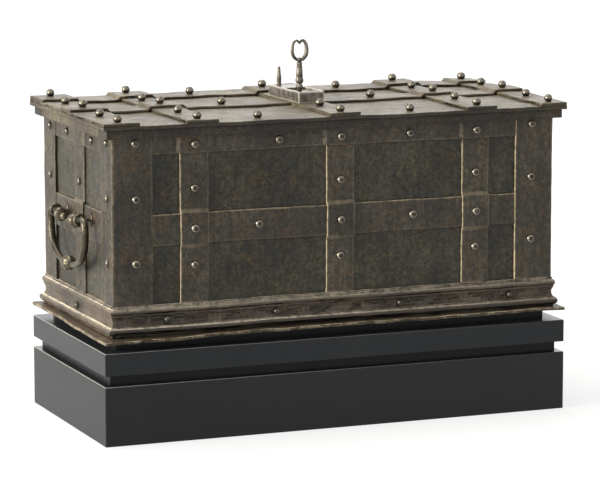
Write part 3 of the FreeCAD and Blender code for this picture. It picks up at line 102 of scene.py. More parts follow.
def add(tree, kind, sockets=None, **settings):
    """A node with its settings, and its sockets fed by name."""
    made = tree.nodes.new(kind)
    for name, value in settings.items():
        setattr(made, name, value)
    for name, value in (sockets or {}).items():
        feed(tree, made.inputs[name], value)
    return made


def rgb(red, green, blue):
    """An sRGB colour of 0 to 255 as a linear one, by the sRGB curve."""
    linear = []
    for value in (red, green, blue):
        part = value / 255
        linear.append(part / 12.92 if part <= 0.04045 else ((part + 0.055) / 1.055) ** 2.4)
    return (*linear, 1.0)


# A Mix node's sockets for colours: its factor and both colours, and its result.
MIX_INPUTS = (0, 6, 7)
MIX_RESULT = 2


def mix(tree, factor, first, second, blend="MIX"):
    made = add(tree, "ShaderNodeMix", data_type="RGBA", blend_type=blend)
    for index, value in zip(MIX_INPUTS, (factor, first, second)):
        feed(tree, made.inputs[index], value)
    return made.outputs[MIX_RESULT]


def maths(tree, operation, first, second, clamp=False):
    made = add(tree, "ShaderNodeMath", operation=operation, use_clamp=clamp)
    feed(tree, made.inputs[0], first)
    feed(tree, made.inputs[1], second)
    return made.outputs[0]


def times(tree, first, second):
    return maths(tree, "MULTIPLY", first, second)


def ramp(tree, value, limits):
    """Smoothly 0 below the first limit and 1 above the second."""
    low, high = limits
    made = add(tree, "ShaderNodeMapRange", {"From Min": low, "From Max": high, "Value": value},
               interpolation_type="SMOOTHSTEP")
    return made.outputs["Result"]


def shade(tree, value, limits, low, high):
    """One colour where the value is low, and another where it is high."""
    return mix(tree, ramp(tree, value, limits), low, high)


def cloud(tree, place, pattern, stretch=None):
    """A noise value; stretch is how much finer it runs along each axis."""
    scale, detail, rough, warp = pattern
    if stretch:
        place = add(tree, "ShaderNodeMapping", {"Vector": place, "Scale": stretch}).outputs[0]
    made = add(tree, "ShaderNodeTexNoise", {
        "Vector": place, "Scale": scale, "Detail": detail, "Roughness": rough, "Distortion": warp,
    })
    return made.outputs["Fac"]


# The noise values between which a surface turns from its lower roughness to its higher one.
ROUGH_LIMITS = (0.3, 0.7)


def roughen(tree, value, rough):
    made = add(tree, "ShaderNodeMapRange", {
        "Value": value, "From Min": ROUGH_LIMITS[0], "From Max": ROUGH_LIMITS[1],
        "To Min": rough[0], "To Max": rough[1],
    })
    return made.outputs["Result"]


def worn_share(tree):
    """The wear and painted light on the mesh: 1 is bright, from rubbing and painted highlights, 0 plain and
    -1 painted shade.
    """
    return add(tree, "ShaderNodeAttribute", attribute_name="worn").outputs["Fac"]


def start_material(name, metallic, specular):
    material = bpy.data.materials.new(name)
    material.use_nodes = True
    tree = material.node_tree
    shader = tree.nodes["Principled BSDF"]
    shader.inputs["Metallic"].default_value = metallic
    shader.inputs["Specular IOR Level"].default_value = specular
    place = add(tree, "ShaderNodeTexCoord").outputs["Object"]
    return material, tree, shader, place


def finish_material(tree, shader, colour, roughness, height, depth):
    tree.links.new(colour, shader.inputs["Base Color"])
    tree.links.new(roughness, shader.inputs["Roughness"])
    bump = add(tree, "ShaderNodeBump", {"Height": height, "Distance": depth, "Strength": 1.0})
    tree.links.new(bump.outputs[0], shader.inputs["Normal"])


# Noise patterns: scale, layers of detail, roughness and distortion.
WIDE = (7.0, 5.0, 0.60, 0.0)
MIDDLE = (38.0, 6.0, 0.68, 0.6)
FINE = (120.0, 5.0, 0.70, 0.0)
SMOKE = (26.0, 6.0, 0.72, 0.9)
GRAIN = (420.0, 3.0, 0.70, 0.0)
BRUSHED = (1.0, 5.0, 0.75, 0.0)

# The limits between which the irons' patterns turn from one colour to the other.
TONE_LIMITS = (0.36, 0.64)
RUST_LIMITS = (0.46, 0.70)
RUST_SPECK_LIMITS = (0.36, 0.62)
SMOKE_LIMITS = (0.46, 0.68)
SPOT_LIMITS = (0.38, 0.62)
GRAIN_LIMITS = (0.34, 0.66)
STROKE_LIMITS = (0.34, 0.68)
WORN_LIMITS = (0.34, 0.58)
WORN_SPECK_LIMITS = (0.34, 0.60)

# What the irons share: the tones that are laid over their colours, and how strongly.
SPOT_TONES = ((0.45, 0.46, 0.46, 1.0), (1.75, 1.68, 1.52, 1.0))
GRAIN_TONES = (rgb(40, 38, 36), rgb(216, 210, 198))
STROKE_TONES = (rgb(64, 58, 50), rgb(214, 210, 200))
# The dark tone of painted shade, laid where the mark is below 0.
SHADE_TONE = rgb(26, 23, 20)
SOOT_SHARE = 0.6
GRAIN_SHARE = 0.7
GRAIN_HEIGHT = 0.5
STROKE_HEIGHT = 0.8
PIT_DEPTH = 0.0005
IRON_METALLIC = 0.15
IRON_ROUGH = (0.42, 0.60)


def iron(name, dark, bare, rust, pale, rusting, specular, mottle, metallic=IRON_METALLIC,
         rough=IRON_ROUGH, brush=None, brushing=0.0, soot=None, broken=0.6):
    """Old wrought iron: two tones in clouds, rust in patches, grain, and pale edges, rubbed and with
    painted highlights, and painted shade.

    The brush is the stretch of the brushed marks. Broken is how patchy the pale edges are, their rubbing
    and painted highlights alike.
    """
    material, tree, shader, place = start_material(name, metallic, specular)
    middle = cloud(tree, place, MIDDLE)
    fine = cloud(tree, place, FINE)
    grain = cloud(tree, place, GRAIN)
    colour = shade(tree, cloud(tree, place, WIDE), TONE_LIMITS, dark, bare)
    patches = times(tree, ramp(tree, middle, RUST_LIMITS), ramp(tree, fine, RUST_SPECK_LIMITS))
    colour = mix(tree, times(tree, patches, rusting), colour, rust)
    if soot:
        smoky = ramp(tree, cloud(tree, place, SMOKE), SMOKE_LIMITS)
        colour = mix(tree, times(tree, smoky, SOOT_SHARE), colour, soot)
    colour = mix(tree, mottle, colour, shade(tree, fine, SPOT_LIMITS, *SPOT_TONES), "MULTIPLY")
    colour = mix(tree, GRAIN_SHARE, colour, shade(tree, grain, GRAIN_LIMITS, *GRAIN_TONES), "SOFT_LIGHT")
    height = maths(tree, "ADD", times(tree, grain, GRAIN_HEIGHT), fine)
    if brush:
        strokes = cloud(tree, place, BRUSHED, brush)
        colour = mix(tree, brushing, colour, shade(tree, strokes, STROKE_LIMITS, *STROKE_TONES), "OVERLAY")
        height = maths(tree, "ADD", height, times(tree, strokes, STROKE_HEIGHT))
    worn = worn_share(tree)
    patchy = maths(tree, "ADD", times(tree, ramp(tree, middle, WORN_LIMITS), 0.5),
                   times(tree, ramp(tree, fine, WORN_SPECK_LIMITS), 0.5))
    kept = maths(tree, "ADD", 1 - broken, times(tree, patchy, broken))
    # Pale where the mark is above 0: rubbed wear and painted highlights. Dark where it is below 0: painted
    # shade.
    bright = maths(tree, "MAXIMUM", worn, 0.0)
    colour = mix(tree, times(tree, bright, kept), colour, pale)
    shaded = maths(tree, "MAXIMUM", times(tree, worn, -1.0), 0.0)
    colour = mix(tree, shaded, colour, SHADE_TONE)
    finish_material(tree, shader, colour, roughen(tree, middle, rough), height, PIT_DEPTH)
    return material


HANDLED = (90.0, 5.0, 0.60, 0.0)
HANDLED_LIMITS = (0.35, 0.66)
SPECK_LIMITS = (0.5, 0.8)
SPECK_SHARE = 0.35
SPECK_COLOUR = rgb(72, 58, 44)
STEEL_SPECULAR = 0.5
STEEL_DEPTH = 0.0001


def steel(name, dark, light, pale, rough, metallic, depth=STEEL_DEPTH):
    """Filed and handled steel: clouds of two tones, fine rusty specks and rubbed places."""
    material, tree, shader, place = start_material(name, metallic, STEEL_SPECULAR)
    clouds = cloud(tree, place, HANDLED)
    fine = cloud(tree, place, GRAIN)
    colour = shade(tree, clouds, HANDLED_LIMITS, dark, light)
    colour = mix(tree, times(tree, ramp(tree, fine, SPECK_LIMITS), SPECK_SHARE), colour, SPECK_COLOUR)
    colour = mix(tree, worn_share(tree), colour, pale)
    finish_material(tree, shader, colour, roughen(tree, clouds, rough), fine, depth)
    return material


DRAG = (1.0, 4.0, 0.60, 0.0)
DRAG_STRETCH = (14.0, 14.0, 260.0)
DRAG_LIMITS = (0.45, 0.70)
DRAG_SHARE = 0.12
DRAG_COLOUR = rgb(30, 30, 28)
DUST = (11.0, 6.0, 0.65, 0.0)
DUST_LIMITS = (0.42, 0.72)
# The pale tone of the plinth's painted edge highlight.
LACQUER_HIGHLIGHT = rgb(150, 148, 140)
LACQUER_ROUGH = (0.33, 0.38)
LACQUER_DEPTH = 0.00005


def lacquer(name, specular, dark, dusty):
    """Satin black lacquer on board: brush drag, faint dust and a pale painted highlight on rounded edges.
    """
    material, tree, shader, place = start_material(name, 0.0, specular)
    drag = cloud(tree, place, DRAG, DRAG_STRETCH)
    colour = shade(tree, cloud(tree, place, DUST), DUST_LIMITS, dark, dusty)
    colour = mix(tree, times(tree, ramp(tree, drag, DRAG_LIMITS), DRAG_SHARE), colour, DRAG_COLOUR)
    colour = mix(tree, worn_share(tree), colour, LACQUER_HIGHLIGHT)
    finish_material(tree, shader, colour, roughen(tree, drag, LACQUER_ROUGH), drag, LACQUER_DEPTH)
    return material


WOOD = (1.0, 5.0, 0.65, 0.0)
WOOD_STRETCH = (9.0, 160.0, 220.0)
WOOD_LIMITS = (0.35, 0.65)
WOOD_TONES = (rgb(48, 40, 32), rgb(98, 84, 65))
STAINS = (22.0, 5.0, 0.60, 0.0)
STAIN_LIMITS = (0.45, 0.66)
STAIN_SHARE = 0.6
STAIN_COLOUR = rgb(72, 55, 38)
FLAKES = (46.0, 6.0, 0.70, 0.0)
FLAKE_LIMITS = (0.40, 0.58)
WOOD_RUBBED = rgb(226, 212, 184)
WOOD_SPECULAR = 0.3
WOOD_ROUGH = (0.42, 0.62)
WOOD_DEPTH = 0.0003


def board(name):
    """A worn board: dark brown, rubbed golden in flakes along its edge."""
    material, tree, shader, place = start_material(name, 0.0, WOOD_SPECULAR)
    grain = cloud(tree, place, WOOD, WOOD_STRETCH)
    stains = cloud(tree, place, STAINS)
    colour = shade(tree, grain, WOOD_LIMITS, *WOOD_TONES)
    colour = mix(tree, times(tree, ramp(tree, stains, STAIN_LIMITS), STAIN_SHARE), colour, STAIN_COLOUR)
    edge = times(tree, worn_share(tree), ramp(tree, cloud(tree, place, FLAKES), FLAKE_LIMITS))
    colour = mix(tree, edge, colour, WOOD_RUBBED)
    finish_material(tree, shader, colour, roughen(tree, stains, WOOD_ROUGH), grain, WOOD_DEPTH)
    return material


# How much finer the brushed marks run along X, Y and Z.
UPRIGHT_STROKES = (90.0, 120.0, 8.0)
LONG_STROKES = (7.0, 130.0, 60.0)
DRAWN_STROKES = (6.0, 40.0, 460.0)

LACQUERS = {
    "black_lacquer": dict(specular=0.21, dark=rgb(38, 40, 43), dusty=rgb(44, 46, 48)),
    "satin_lacquer": dict(specular=0.31, dark=rgb(7, 10, 11), dusty=rgb(11, 14, 14)),
    # The recessed reveal and riser get a darker, duller copy of the lacquer: painted shade.
    "inner_lacquer": dict(specular=0.15, dark=rgb(16, 17, 20), dusty=rgb(22, 23, 25)),
}
STEELS = {
    "polished_studs": dict(dark=rgb(40, 36, 31), light=rgb(80, 75, 66), pale=rgb(168, 160, 144),
                           rough=(0.26, 0.42), metallic=0.8),
    "ball_steel": dict(dark=rgb(42, 38, 33), light=rgb(86, 79, 69), pale=rgb(128, 121, 108),
                       rough=(0.28, 0.42), metallic=0.8, depth=0.0003),
    "lock_steel": dict(dark=rgb(78, 72, 64), light=rgb(128, 121, 110), pale=rgb(205, 200, 188),
                       rough=(0.28, 0.46), metallic=0.6),
}
# Each iron's pale tone is for its rubbed edges and for its painted highlights.
IRONS = {
    "lock_works": dict(dark=rgb(92, 88, 81), bare=rgb(136, 131, 122), rust=rgb(84, 62, 42),
                       pale=rgb(190, 182, 166), rusting=0.3, metallic=0.5, specular=0.4,
                       rough=(0.30, 0.46), brush=LONG_STROKES, brushing=0.35, mottle=0.25),
    "handle_iron": dict(dark=rgb(56, 52, 44), bare=rgb(104, 98, 84), rust=rgb(84, 66, 46),
                        pale=rgb(190, 184, 168), rusting=0.3, metallic=0.6, specular=0.4,
                        rough=(0.24, 0.42), mottle=0.4),
    # lid_iron is paler than the walls' iron: painted sheen of the lid's top. rail_iron is darker iron
    # without it, for the lid's long rails and the lock plate.
    "lid_iron": dict(dark=rgb(83, 77, 66), bare=rgb(113, 107, 92), rust=rgb(92, 68, 46),
                     pale=rgb(186, 176, 156), rusting=0.5, specular=0.36,
                     brush=LONG_STROKES, brushing=0.5, mottle=0.35),
    "sheet_iron": dict(dark=rgb(54, 53, 49), bare=rgb(74, 73, 66), rust=rgb(112, 92, 58),
                       pale=rgb(150, 132, 104), rusting=0.4, specular=0.35, soot=rgb(42, 46, 44),
                       brush=UPRIGHT_STROKES, brushing=0.35, mottle=0.65),
    "strap_iron": dict(dark=rgb(60, 57, 51), bare=rgb(84, 80, 72), rust=rgb(106, 76, 48),
                       pale=rgb(234, 212, 176), rusting=0.45, specular=0.42, soot=rgb(48, 48, 45),
                       brush=UPRIGHT_STROKES, brushing=0.45, mottle=0.6, broken=0.85),
    "rail_iron": dict(dark=rgb(52, 50, 47), bare=rgb(72, 69, 64), rust=rgb(92, 68, 46),
                      pale=rgb(150, 140, 122), rusting=0.4, specular=0.32,
                      brush=LONG_STROKES, brushing=0.4, mottle=0.5),
    "moulding_iron": dict(dark=rgb(72, 66, 59), bare=rgb(106, 98, 89), rust=rgb(110, 80, 54),
                          pale=rgb(224, 210, 188), rusting=0.5, specular=0.45,
                          brush=DRAWN_STROKES, brushing=0.45, mottle=0.3, broken=0.9),
}


def make_materials():
    made = {"worn_board": board("worn_board")}
    for recipe, family in ((lacquer, LACQUERS), (steel, STEELS), (iron, IRONS)):
        for name, settings in family.items():
            made[name] = recipe(name, **settings)
    return made


# Mesh work.
def smooth_step(value):
    value = min(max(value, 0.0), 1.0)
    return value * value * (3 - 2 * value)


# Where moving pieces fit closely the plates stay true: the hinge line, the key's axis
# and the handles' eyes. Nearer than the first gap all is true, past the second all wanders.
HINGE = Vector((0.0, 0.2005, 0.536))
KEY_AXIS = Vector((0.005, 0.003, 0.6))
KEY_ZONE_LOW = 0.5
EYE_PLACES = (0.064, -0.074)
EYE_HEIGHT = 0.388
EYE_ZONE_OUT = 0.41
TRUE_GAPS = (0.014, 0.045)


def quiet(point):
    """The share of the wander that a point may have."""
    near, far = TRUE_GAPS
    gaps = [math.hypot(point.y - HINGE.y, point.z - HINGE.z)]
    if point.z > KEY_ZONE_LOW:
        gaps.append(math.hypot(point.x - KEY_AXIS.x, point.y - KEY_AXIS.y))
    if abs(point.x) > EYE_ZONE_OUT:
        for place in EYE_PLACES:
            gaps.append(math.hypot(point.y - place, point.z - EYE_HEIGHT))
    share = 1.0
    for gap in gaps:
        share *= smooth_step((gap - near) / (far - near))
    return share


# The plate work's unevenness: how far it wanders, and over what width.
WANDER = ((0.0011, 0.110), (0.0006, 0.034))
LID_WANDER = 1.5
# Without a seed of its own the noise changes from run to run.
NOISE_SEED = 5
noise.seed_set(NOISE_SEED)


def wander(point):
    """How far the old plate work strays from true here; neighbours stray together."""
    moved = Vector()
    for reach, width in WANDER:
        moved += noise.noise_vector(point / width) * reach
    return moved * quiet(point)


# The lid's rear right corner is bent down: how far, and over what length.
DROOP = 0.004
DROOP_REACH = 0.13
HALF_LID = Vector((0.45, 0.215))


def droop(point):
    gap = math.hypot(HALF_LID.x - point.x, HALF_LID.y - point.y)
    return DROOP * smooth_step(1 - gap / DROOP_REACH)


def stray(point, body):
    moved = wander(point)
    if body == "lid":
        moved *= LID_WANDER
        moved.z -= droop(point)
    return moved


# The board's rim is warped, and sunk at the front left corner.
HALF_BOARD = Vector((0.451, 0.2125))
BOARD_RIM = 0.028
BOARD_SAG = 0.0045
BOARD_SAG_REACH = 0.30
BOARD_WAVE = 0.0016
BOARD_WAVE_WIDTH = 0.07


def warp_board(point):
    rim = min(HALF_BOARD.x - abs(point.x), HALF_BOARD.y - abs(point.y))
    share = smooth_step(1 - rim / BOARD_RIM)
    corner = math.hypot(point.x + HALF_BOARD.x, point.y + HALF_BOARD.y)
    sag = BOARD_SAG * smooth_step(1 - corner / BOARD_SAG_REACH)
    wave = BOARD_WAVE * noise.noise(Vector((point.x, point.y, 0.0)) / BOARD_WAVE_WIDTH)
    return Vector((0.0, 0.0, share * (wave - sag)))


def mesh_object(name, bm, material, smooth=True):
    data = bpy.data.meshes.new(name)
    bm.to_mesh(data)
    bm.free()
    data.materials.append(material)
    for polygon in data.polygons:
        polygon.use_smooth = smooth
    made = bpy.data.objects.new(name, data)
    bpy.context.scene.collection.objects.link(made)
    return made


def closed_piece(name, bm, material):
    """A mesh of closed shells as an object, with its faces turned outwards."""
    bmesh.ops.recalc_face_normals(bm, faces=bm.faces)
    return mesh_object(name, bm, MATERIALS[material])


NORMAL_WEIGHT = 60


def weigh_normals(piece):
    modifier = piece.modifiers.new("even_shading", "WEIGHTED_NORMAL")
    modifier.keep_sharp = False
    modifier.weight = NORMAL_WEIGHT


def settle(piece, body, node):
    """Puts a finished piece on its body, in the place of its node."""
    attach(piece, body)
    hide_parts(node)


# Corners nearer than this are one, and corners this near to a cutting plane lie on it.
SAME_CORNER = 2e-6
ON_PLANE = 1e-6


def welded(node):
    """A node's CAD mesh, with the corners that its faces share."""
    bm = bmesh.new()
    bm.from_mesh(frame["nodes"][node].data)
    bmesh.ops.remove_doubles(bm, verts=bm.verts, dist=SAME_CORNER)
    return bm


def cut_mesh(bm, place, normal, clear=False):
    """Cuts the faces on a plane; clear takes away what is beyond it."""
    bmesh.ops.bisect_plane(bm, geom=bm.verts[:] + bm.edges[:] + bm.faces[:], plane_co=place,
                           plane_no=normal, dist=ON_PLANE, clear_outer=clear)


def grid_cuts(bm, cell):
    """Cuts the faces on planes across each axis, so that they can bend."""
    low = [min(vert.co[axis] for vert in bm.verts) for axis in range(3)]
    high = [max(vert.co[axis] for vert in bm.verts) for axis in range(3)]
    for axis in range(3):
        count = int((high[axis] - low[axis]) / cell)
        normal = Vector((0.0, 0.0, 0.0))
        normal[axis] = 1.0
        for step in range(1, count + 1):
            place = Vector((0.0, 0.0, 0.0))
            place[axis] = low[axis] + (high[axis] - low[axis]) * step / (count + 1)
            cut_mesh(bm, place, normal)


SHARP = math.radians(50)
ROUNDNESS = 0.6


def ease_edges(bm, bevel):
    """Rounds the sharp edges, and gives the faces that this makes."""
    edges = [edge for edge in bm.edges
             if len(edge.link_faces) == 2 and edge.calc_face_angle(0.0) > SHARP]
    made = bmesh.ops.bevel(bm, geom=edges, offset=bevel, segments=2, profile=ROUNDNESS,
                           affect="EDGES", clamp_overlap=True)
    return made["faces"]


# Wear and painted light at edges: 1 is bright, from rubbing and painted highlights, 0 plain and -1 painted
# shade.
KEY_BOX_WEAR = 0.8
BOARD_LONG_WEAR = 0.9
BOARD_END_WEAR = 0.25
# Painted shade: the lid's edges that face down or to the front, the lid's front, edges that face into the
# wall, and the top band's slopes.
LID_EDGE_SHADE = -0.3
LID_FRONT_SHADE = -0.6
INWARD_SHADE = -0.85
BAND_SLOPE_SHADE = -0.85
CORNER_WEAR = 0.4
# Painted highlight on the slopes that face up on the front.
SLOPE_HIGHLIGHT = 0.35
# Off the front: wear everywhere, and the painted highlight that facing up adds.
PLAIN_WEAR = 0.05
PLAIN_UP_HIGHLIGHT = 0.15
# On the front: wear everywhere, the painted highlight that facing left or up adds, the painted floor
# reflection that facing down adds, and the most.
FRONT_WEAR = 0.02
FRONT_LIT_HIGHLIGHT = 1.1
# Painted reflection of the floor on the front's edges that face down.
FRONT_DOWN_REFLECTION = 0.28
FRONT_MOST_WEAR_AND_LIGHT = 0.95
# What the front's pieces keep of the painted highlight that facing left, and facing up, would add.
FRONT_KEEPS = {"top_band": (0.12, 0.6), "middle_band": (0.12, 1.3), "upright": (0.85, 0.45)}
# How far a normal leans one way before an edge counts as facing it.
FACES_DOWN = 0.2
FACES_IN = 0.2
FACES_SIDE = 0.2
FACES_END = 0.3
FACES_FRONT = 0.3
FACES_CORNER = 0.45
FACES_UP = 0.25
SQUARE_ON = 0.95
# The end walls' plates lie beyond this place along X.
END_PLATES = 0.4252


def edge_wear_and_light(vert, node, body):
    """How an edge is worn and lit: painted highlight where it faces up or to the left, painted floor
    reflection where it faces down on the front, painted shade against a wall and on the lid's lower and
    front edges.
    """
    normal = vert.normal
    if node == "key_box":
        return KEY_BOX_WEAR
    if node == "bottom_board":
        return BOARD_LONG_WEAR if abs(normal.x) < FACES_END else BOARD_END_WEAR
    if body == "lid":
        return LID_EDGE_SHADE if normal.z < -FACES_DOWN or normal.y < -FACES_FRONT else 0.0
    out = Vector((0.0, -1.0, 0.0))
    if abs(vert.co.x) > END_PLATES and abs(normal.y) < SQUARE_ON:
        out = Vector((math.copysign(1.0, vert.co.x), 0.0, 0.0))
    elif vert.co.y > 0:
        out = Vector((0.0, 1.0, 0.0))
    if normal.dot(out) < -FACES_IN:
        return INWARD_SHADE
    left, up = max(-normal.x, 0.0), max(normal.z, 0.0)
    if out.y >= 0:
        return PLAIN_WEAR + PLAIN_UP_HIGHLIGHT * up
    for part, (keeps_left, keeps_up) in FRONT_KEEPS.items():
        if part in node:
            left *= keeps_left
            up *= keeps_up
    wear = FRONT_WEAR + FRONT_LIT_HIGHLIGHT * max(left, up) + FRONT_DOWN_REFLECTION * max(-normal.z, 0.0)
    return min(wear, FRONT_MOST_WEAR_AND_LIGHT)


# Heights on the moulding: where the bead starts, and the top of the torus.
BEAD_LOW = 0.2375
TORUS_TOP = (0.2076, 0.2113)
# The brightness of both lines, rubbed wear and painted highlight: at the left, what it loses to the right,
# and from where along X.
BEAD_WEAR_AND_HIGHLIGHT = (0.85, 0.35, -0.35)
TORUS_WEAR_AND_HIGHLIGHT = (0.95, 0.60, -0.10)
BEAD_FADE = 0.006
LINE_FADE = 0.5
# Painted shade on the front below the torus's top; the ends keep a share of the lines' brightness.
LOW_MOULDING_SHADE = -0.5
END_MOULDING_KEEPS = 0.2
FACES_MOULDING_END = 0.6


def fading_line(place, line):
    full, loss, start = line
    return full - loss * smooth_step((place - start) / LINE_FADE)


def moulding_wear_and_light(vert):
    """The moulding's marks: two bright lines along the front, rubbed and with painted highlight, and
    painted shade under the lower one.
    """
    height = vert.co.z
    at_end = abs(vert.normal.x) > FACES_MOULDING_END
    shine = END_MOULDING_KEEPS if at_end else 1.0
    if height > BEAD_LOW:
        return fading_line(vert.co.x, BEAD_WEAR_AND_HIGHLIGHT) * shine * smooth_step((height - BEAD_LOW) / BEAD_FADE)
    if TORUS_TOP[0] < height < TORUS_TOP[1]:
        return fading_line(vert.co.x, TORUS_WEAR_AND_HIGHLIGHT) * shine
    return LOW_MOULDING_SHADE if height < TORUS_TOP[0] and not at_end else 0.0


# The plinth's rounded top edges get a painted highlight up to this place along X, fading out to the right.
PLINTH_HIGHLIGHT_END = 0.05
PLINTH_HIGHLIGHT = 0.75
PLINTH_FADE = 0.3
# A rounded top edge's normal leans up between these two shares, and isn't turned to the back.
ROUNDED_UP = (0.2, 0.98)
TURNED_BACK = 0.3


def plinth_highlight(vert):
    low, high = ROUNDED_UP
    if low < vert.normal.z < high and vert.normal.y < TURNED_BACK:
        return PLINTH_HIGHLIGHT * smooth_step((PLINTH_HIGHLIGHT_END - vert.co.x) / PLINTH_FADE)
    return 0.0


# Faces larger than this, in square metres, get a narrow faded margin of this width.
BROAD_FACE = 8e-4
MARGIN = 0.0024
# In front of this place along Y the lid gets painted shade.
LID_FRONT = -0.2135


def mark_wear_and_light(bm, tag, worn, node, body):
    """Marks the rounded edges with wear, painted highlight and painted shade, fading out across the broad
    faces' margins.
    """
    broad = [face for face in bm.faces if not face[tag] and face.calc_area() > BROAD_FACE]
    bmesh.ops.inset_individual(bm, faces=broad, thickness=MARGIN, use_even_offset=True)
    bm.normal_update()
    inner = {vert for face in broad for vert in face.verts}
    for vert in bm.verts:
        if vert in inner:
            continue
        sideways, forward, up = abs(vert.normal.x), -vert.normal.y, vert.normal.z
        if any(face[tag] for face in vert.link_faces):
            vert[worn] = edge_wear_and_light(vert, node, body)
        elif "corner" in node and sideways > FACES_CORNER and forward > FACES_CORNER:
            vert[worn] = CORNER_WEAR
        elif "top_band" in node and sideways > FACES_SIDE and forward > FACES_FRONT:
            vert[worn] = BAND_SLOPE_SHADE
        elif body == "chest" and up > FACES_UP and forward > FACES_FRONT:
            vert[worn] = SLOPE_HIGHLIGHT
    for vert in bm.verts:
        if body == "lid" and vert.co.y < LID_FRONT:
            vert[worn] = LID_FRONT_SHADE
        if "moulding" in node:
            vert[worn] = moulding_wear_and_light(vert)
        if "plinth" in node:
            vert[worn] = plinth_highlight(vert)


# Plates are cut into cells of this size before they bend.
CELL = 0.009
FLAT_ANGLE = math.radians(1.0)


def forge(node, bevel, cell=CELL, uneven=True, finish=None):
    """A plate, strap or moulding as it was hammered: rounded edges, worn and with painted highlight and
    shade, and an uneven face.
    """
    source = frame["nodes"][node]
    body = source["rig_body"]
    slot = source.data.materials[0].name
    bm = welded(node)
    bmesh.ops.dissolve_limit(bm, angle_limit=FLAT_ANGLE, verts=bm.verts, edges=bm.edges)
    tag = bm.faces.layers.int.new("rounded")
    worn = bm.verts.layers.float.new("worn")
    for face in ease_edges(bm, bevel):
        face[tag] = 1
    mark_wear_and_light(bm, tag, worn, node, body)
    grid_cuts(bm, cell)
    if uneven:
        for vert in bm.verts:
            moved = stray(vert.co, body)
            if node == "bottom_board":
                moved += warp_board(vert.co)
            vert.co += moved
    piece = mesh_object(node + "_forged", bm, MATERIALS[finish or slot])
    weigh_normals(piece)
    settle(piece, body, node)


def islands(node):
    """The corners of each separate solid of a node, from left to right."""
    bm = welded(node)
    found = []
    left = set(bm.verts)
    while left:
        stack = [left.pop()]
        group = []
        while stack:
            vert = stack.pop()
            group.append(vert.co.copy())
            for edge in vert.link_edges:
                other = edge.other_vert(vert)
                if other in left:
                    left.remove(other)
                    stack.append(other)
        found.append(group)
    bm.free()

    def place(group):
        return tuple(round(math.fsum(corner[axis] for corner in group) / len(group), 4)
                     for axis in range(3))

    return sorted(found, key=place)


def stitch(bm, lower, upper):
    """The faces between two rings of corners."""
    count = len(lower)
    for step in range(count):
        after = (step + 1) % count
        bm.faces.new((lower[step], lower[after], upper[after], upper[step]))


# Stud outlines from the seat up, as shares of the radius and of the height.
DOME_LINE = ((1.0, 0.0), (1.0, 0.12), (0.96, 0.34), (0.87, 0.56), (0.70, 0.77), (0.46, 0.92), (0.22, 0.99))
BALL_LINE = ((0.66, 0.0), (0.68, 0.10), (0.88, 0.22), (0.99, 0.38), (1.0, 0.52), (0.93, 0.69),
             (0.75, 0.85), (0.48, 0.96), (0.20, 1.0))
STUD_AROUND = 22
STUD_SPREAD = (-0.05, 0.04)
# The studs go a little into the plates, and the lid's balls stand a little higher than their solids.
STUD_SINK = 0.0006
BALL_GROW = 0.0022
# A stud's flats: how many, how far they lean in degrees, and the share of the stud that they keep.
DOME_FLATS = 3
BALL_FLATS = 7
FLAT_LEAN = (15, 75)
FLAT_KEEPS = (0.80, 0.93)
# Shares of a stud's height: its centre, its reach above that, and the foot that no flat cuts.
STUD_CENTRE = 0.45
STUD_REACH = 0.55
STUD_FOOT = 0.15
# The rubbed belt of a stud, as shares of its height: from and to where, and how it fades.
BELT = (0.3, 0.93)
BELT_FADE = (0.25, 0.15)
# How brightly the studs' belts are rubbed: on the lid and the front, the ends, and the mouldings.
STUD_SHINE = 0.7
END_STUD_SHINE = 0.25
LOW_STUD_SHINE = 0.1
LOW_STUDS = 0.25


def cut_flats(chance, count):
    """The way that each flat faces, and the share of the stud that it keeps."""
    flats = []
    for _ in range(count):
        lean = math.radians(chance.uniform(*FLAT_LEAN))
        around = chance.uniform(0, FULL_TURN)
        way = Vector((math.sin(lean) * math.cos(around), math.sin(lean) * math.sin(around), math.cos(lean)))
        flats.append((way, chance.uniform(*FLAT_KEEPS)))
    return flats


def filed(corner, flats, radius, height):
    """A stud's corner, moved in to each flat that it stands out of."""
    corner = corner.copy()
    centre = Vector((0, 0, height * STUD_CENTRE))
    for way, keep in flats:
        span = radius * math.hypot(way.x, way.y) + height * STUD_REACH * way.z
        over = (corner - centre).dot(way) - span * keep
        if over > 0 and corner.z > height * STUD_FOOT:
            corner -= way * over
    return corner


def belt_wear(share, shine):
    """The wear at a share of a stud's height."""
    rise = smooth_step((share - BELT[0]) / BELT_FADE[0])
    fall = smooth_step((BELT[1] - share) / BELT_FADE[1])
    return shine * rise * fall


def add_stud(bm, chance, seat, normal, radius, height, line, flat_count, shine):
    """One stud: a turned outline, then flats where the file or hammer met it."""
    turn = UP.rotation_difference(normal).to_matrix().to_4x4()
    spin = Matrix.Rotation(chance.uniform(0, FULL_TURN), 4, "Z")
    grow = 1 + chance.uniform(*STUD_SPREAD)
    flats = cut_flats(chance, flat_count)
    worn = bm.verts.layers.float["worn"]
    angles = [FULL_TURN * step / STUD_AROUND for step in range(STUD_AROUND)]
    rings = []
    for radius_share, height_share in line:
        reach = radius * radius_share * grow
        rings.append([Vector((reach * math.cos(angle), reach * math.sin(angle), height * height_share))
                      for angle in angles])
    top = Vector((0, 0, height))
    rows = []
    for ring in rings + [[top]]:
        row = []
        for corner in ring:
            corner = filed(corner, flats, radius, height)
            vert = bm.verts.new(seat + turn @ (spin @ corner))
            vert[worn] = belt_wear(corner.z / height, shine)
            row.append(vert)
        rows.append(row)
    for lower, upper in zip(rows[:-2], rows[1:-1]):
        stitch(bm, lower, upper)
    tip = rows[-1][0]
    for step in range(STUD_AROUND):
        bm.faces.new((rows[-2][step], rows[-2][(step + 1) % STUD_AROUND], tip))
    bm.faces.new(list(reversed(rows[0])))


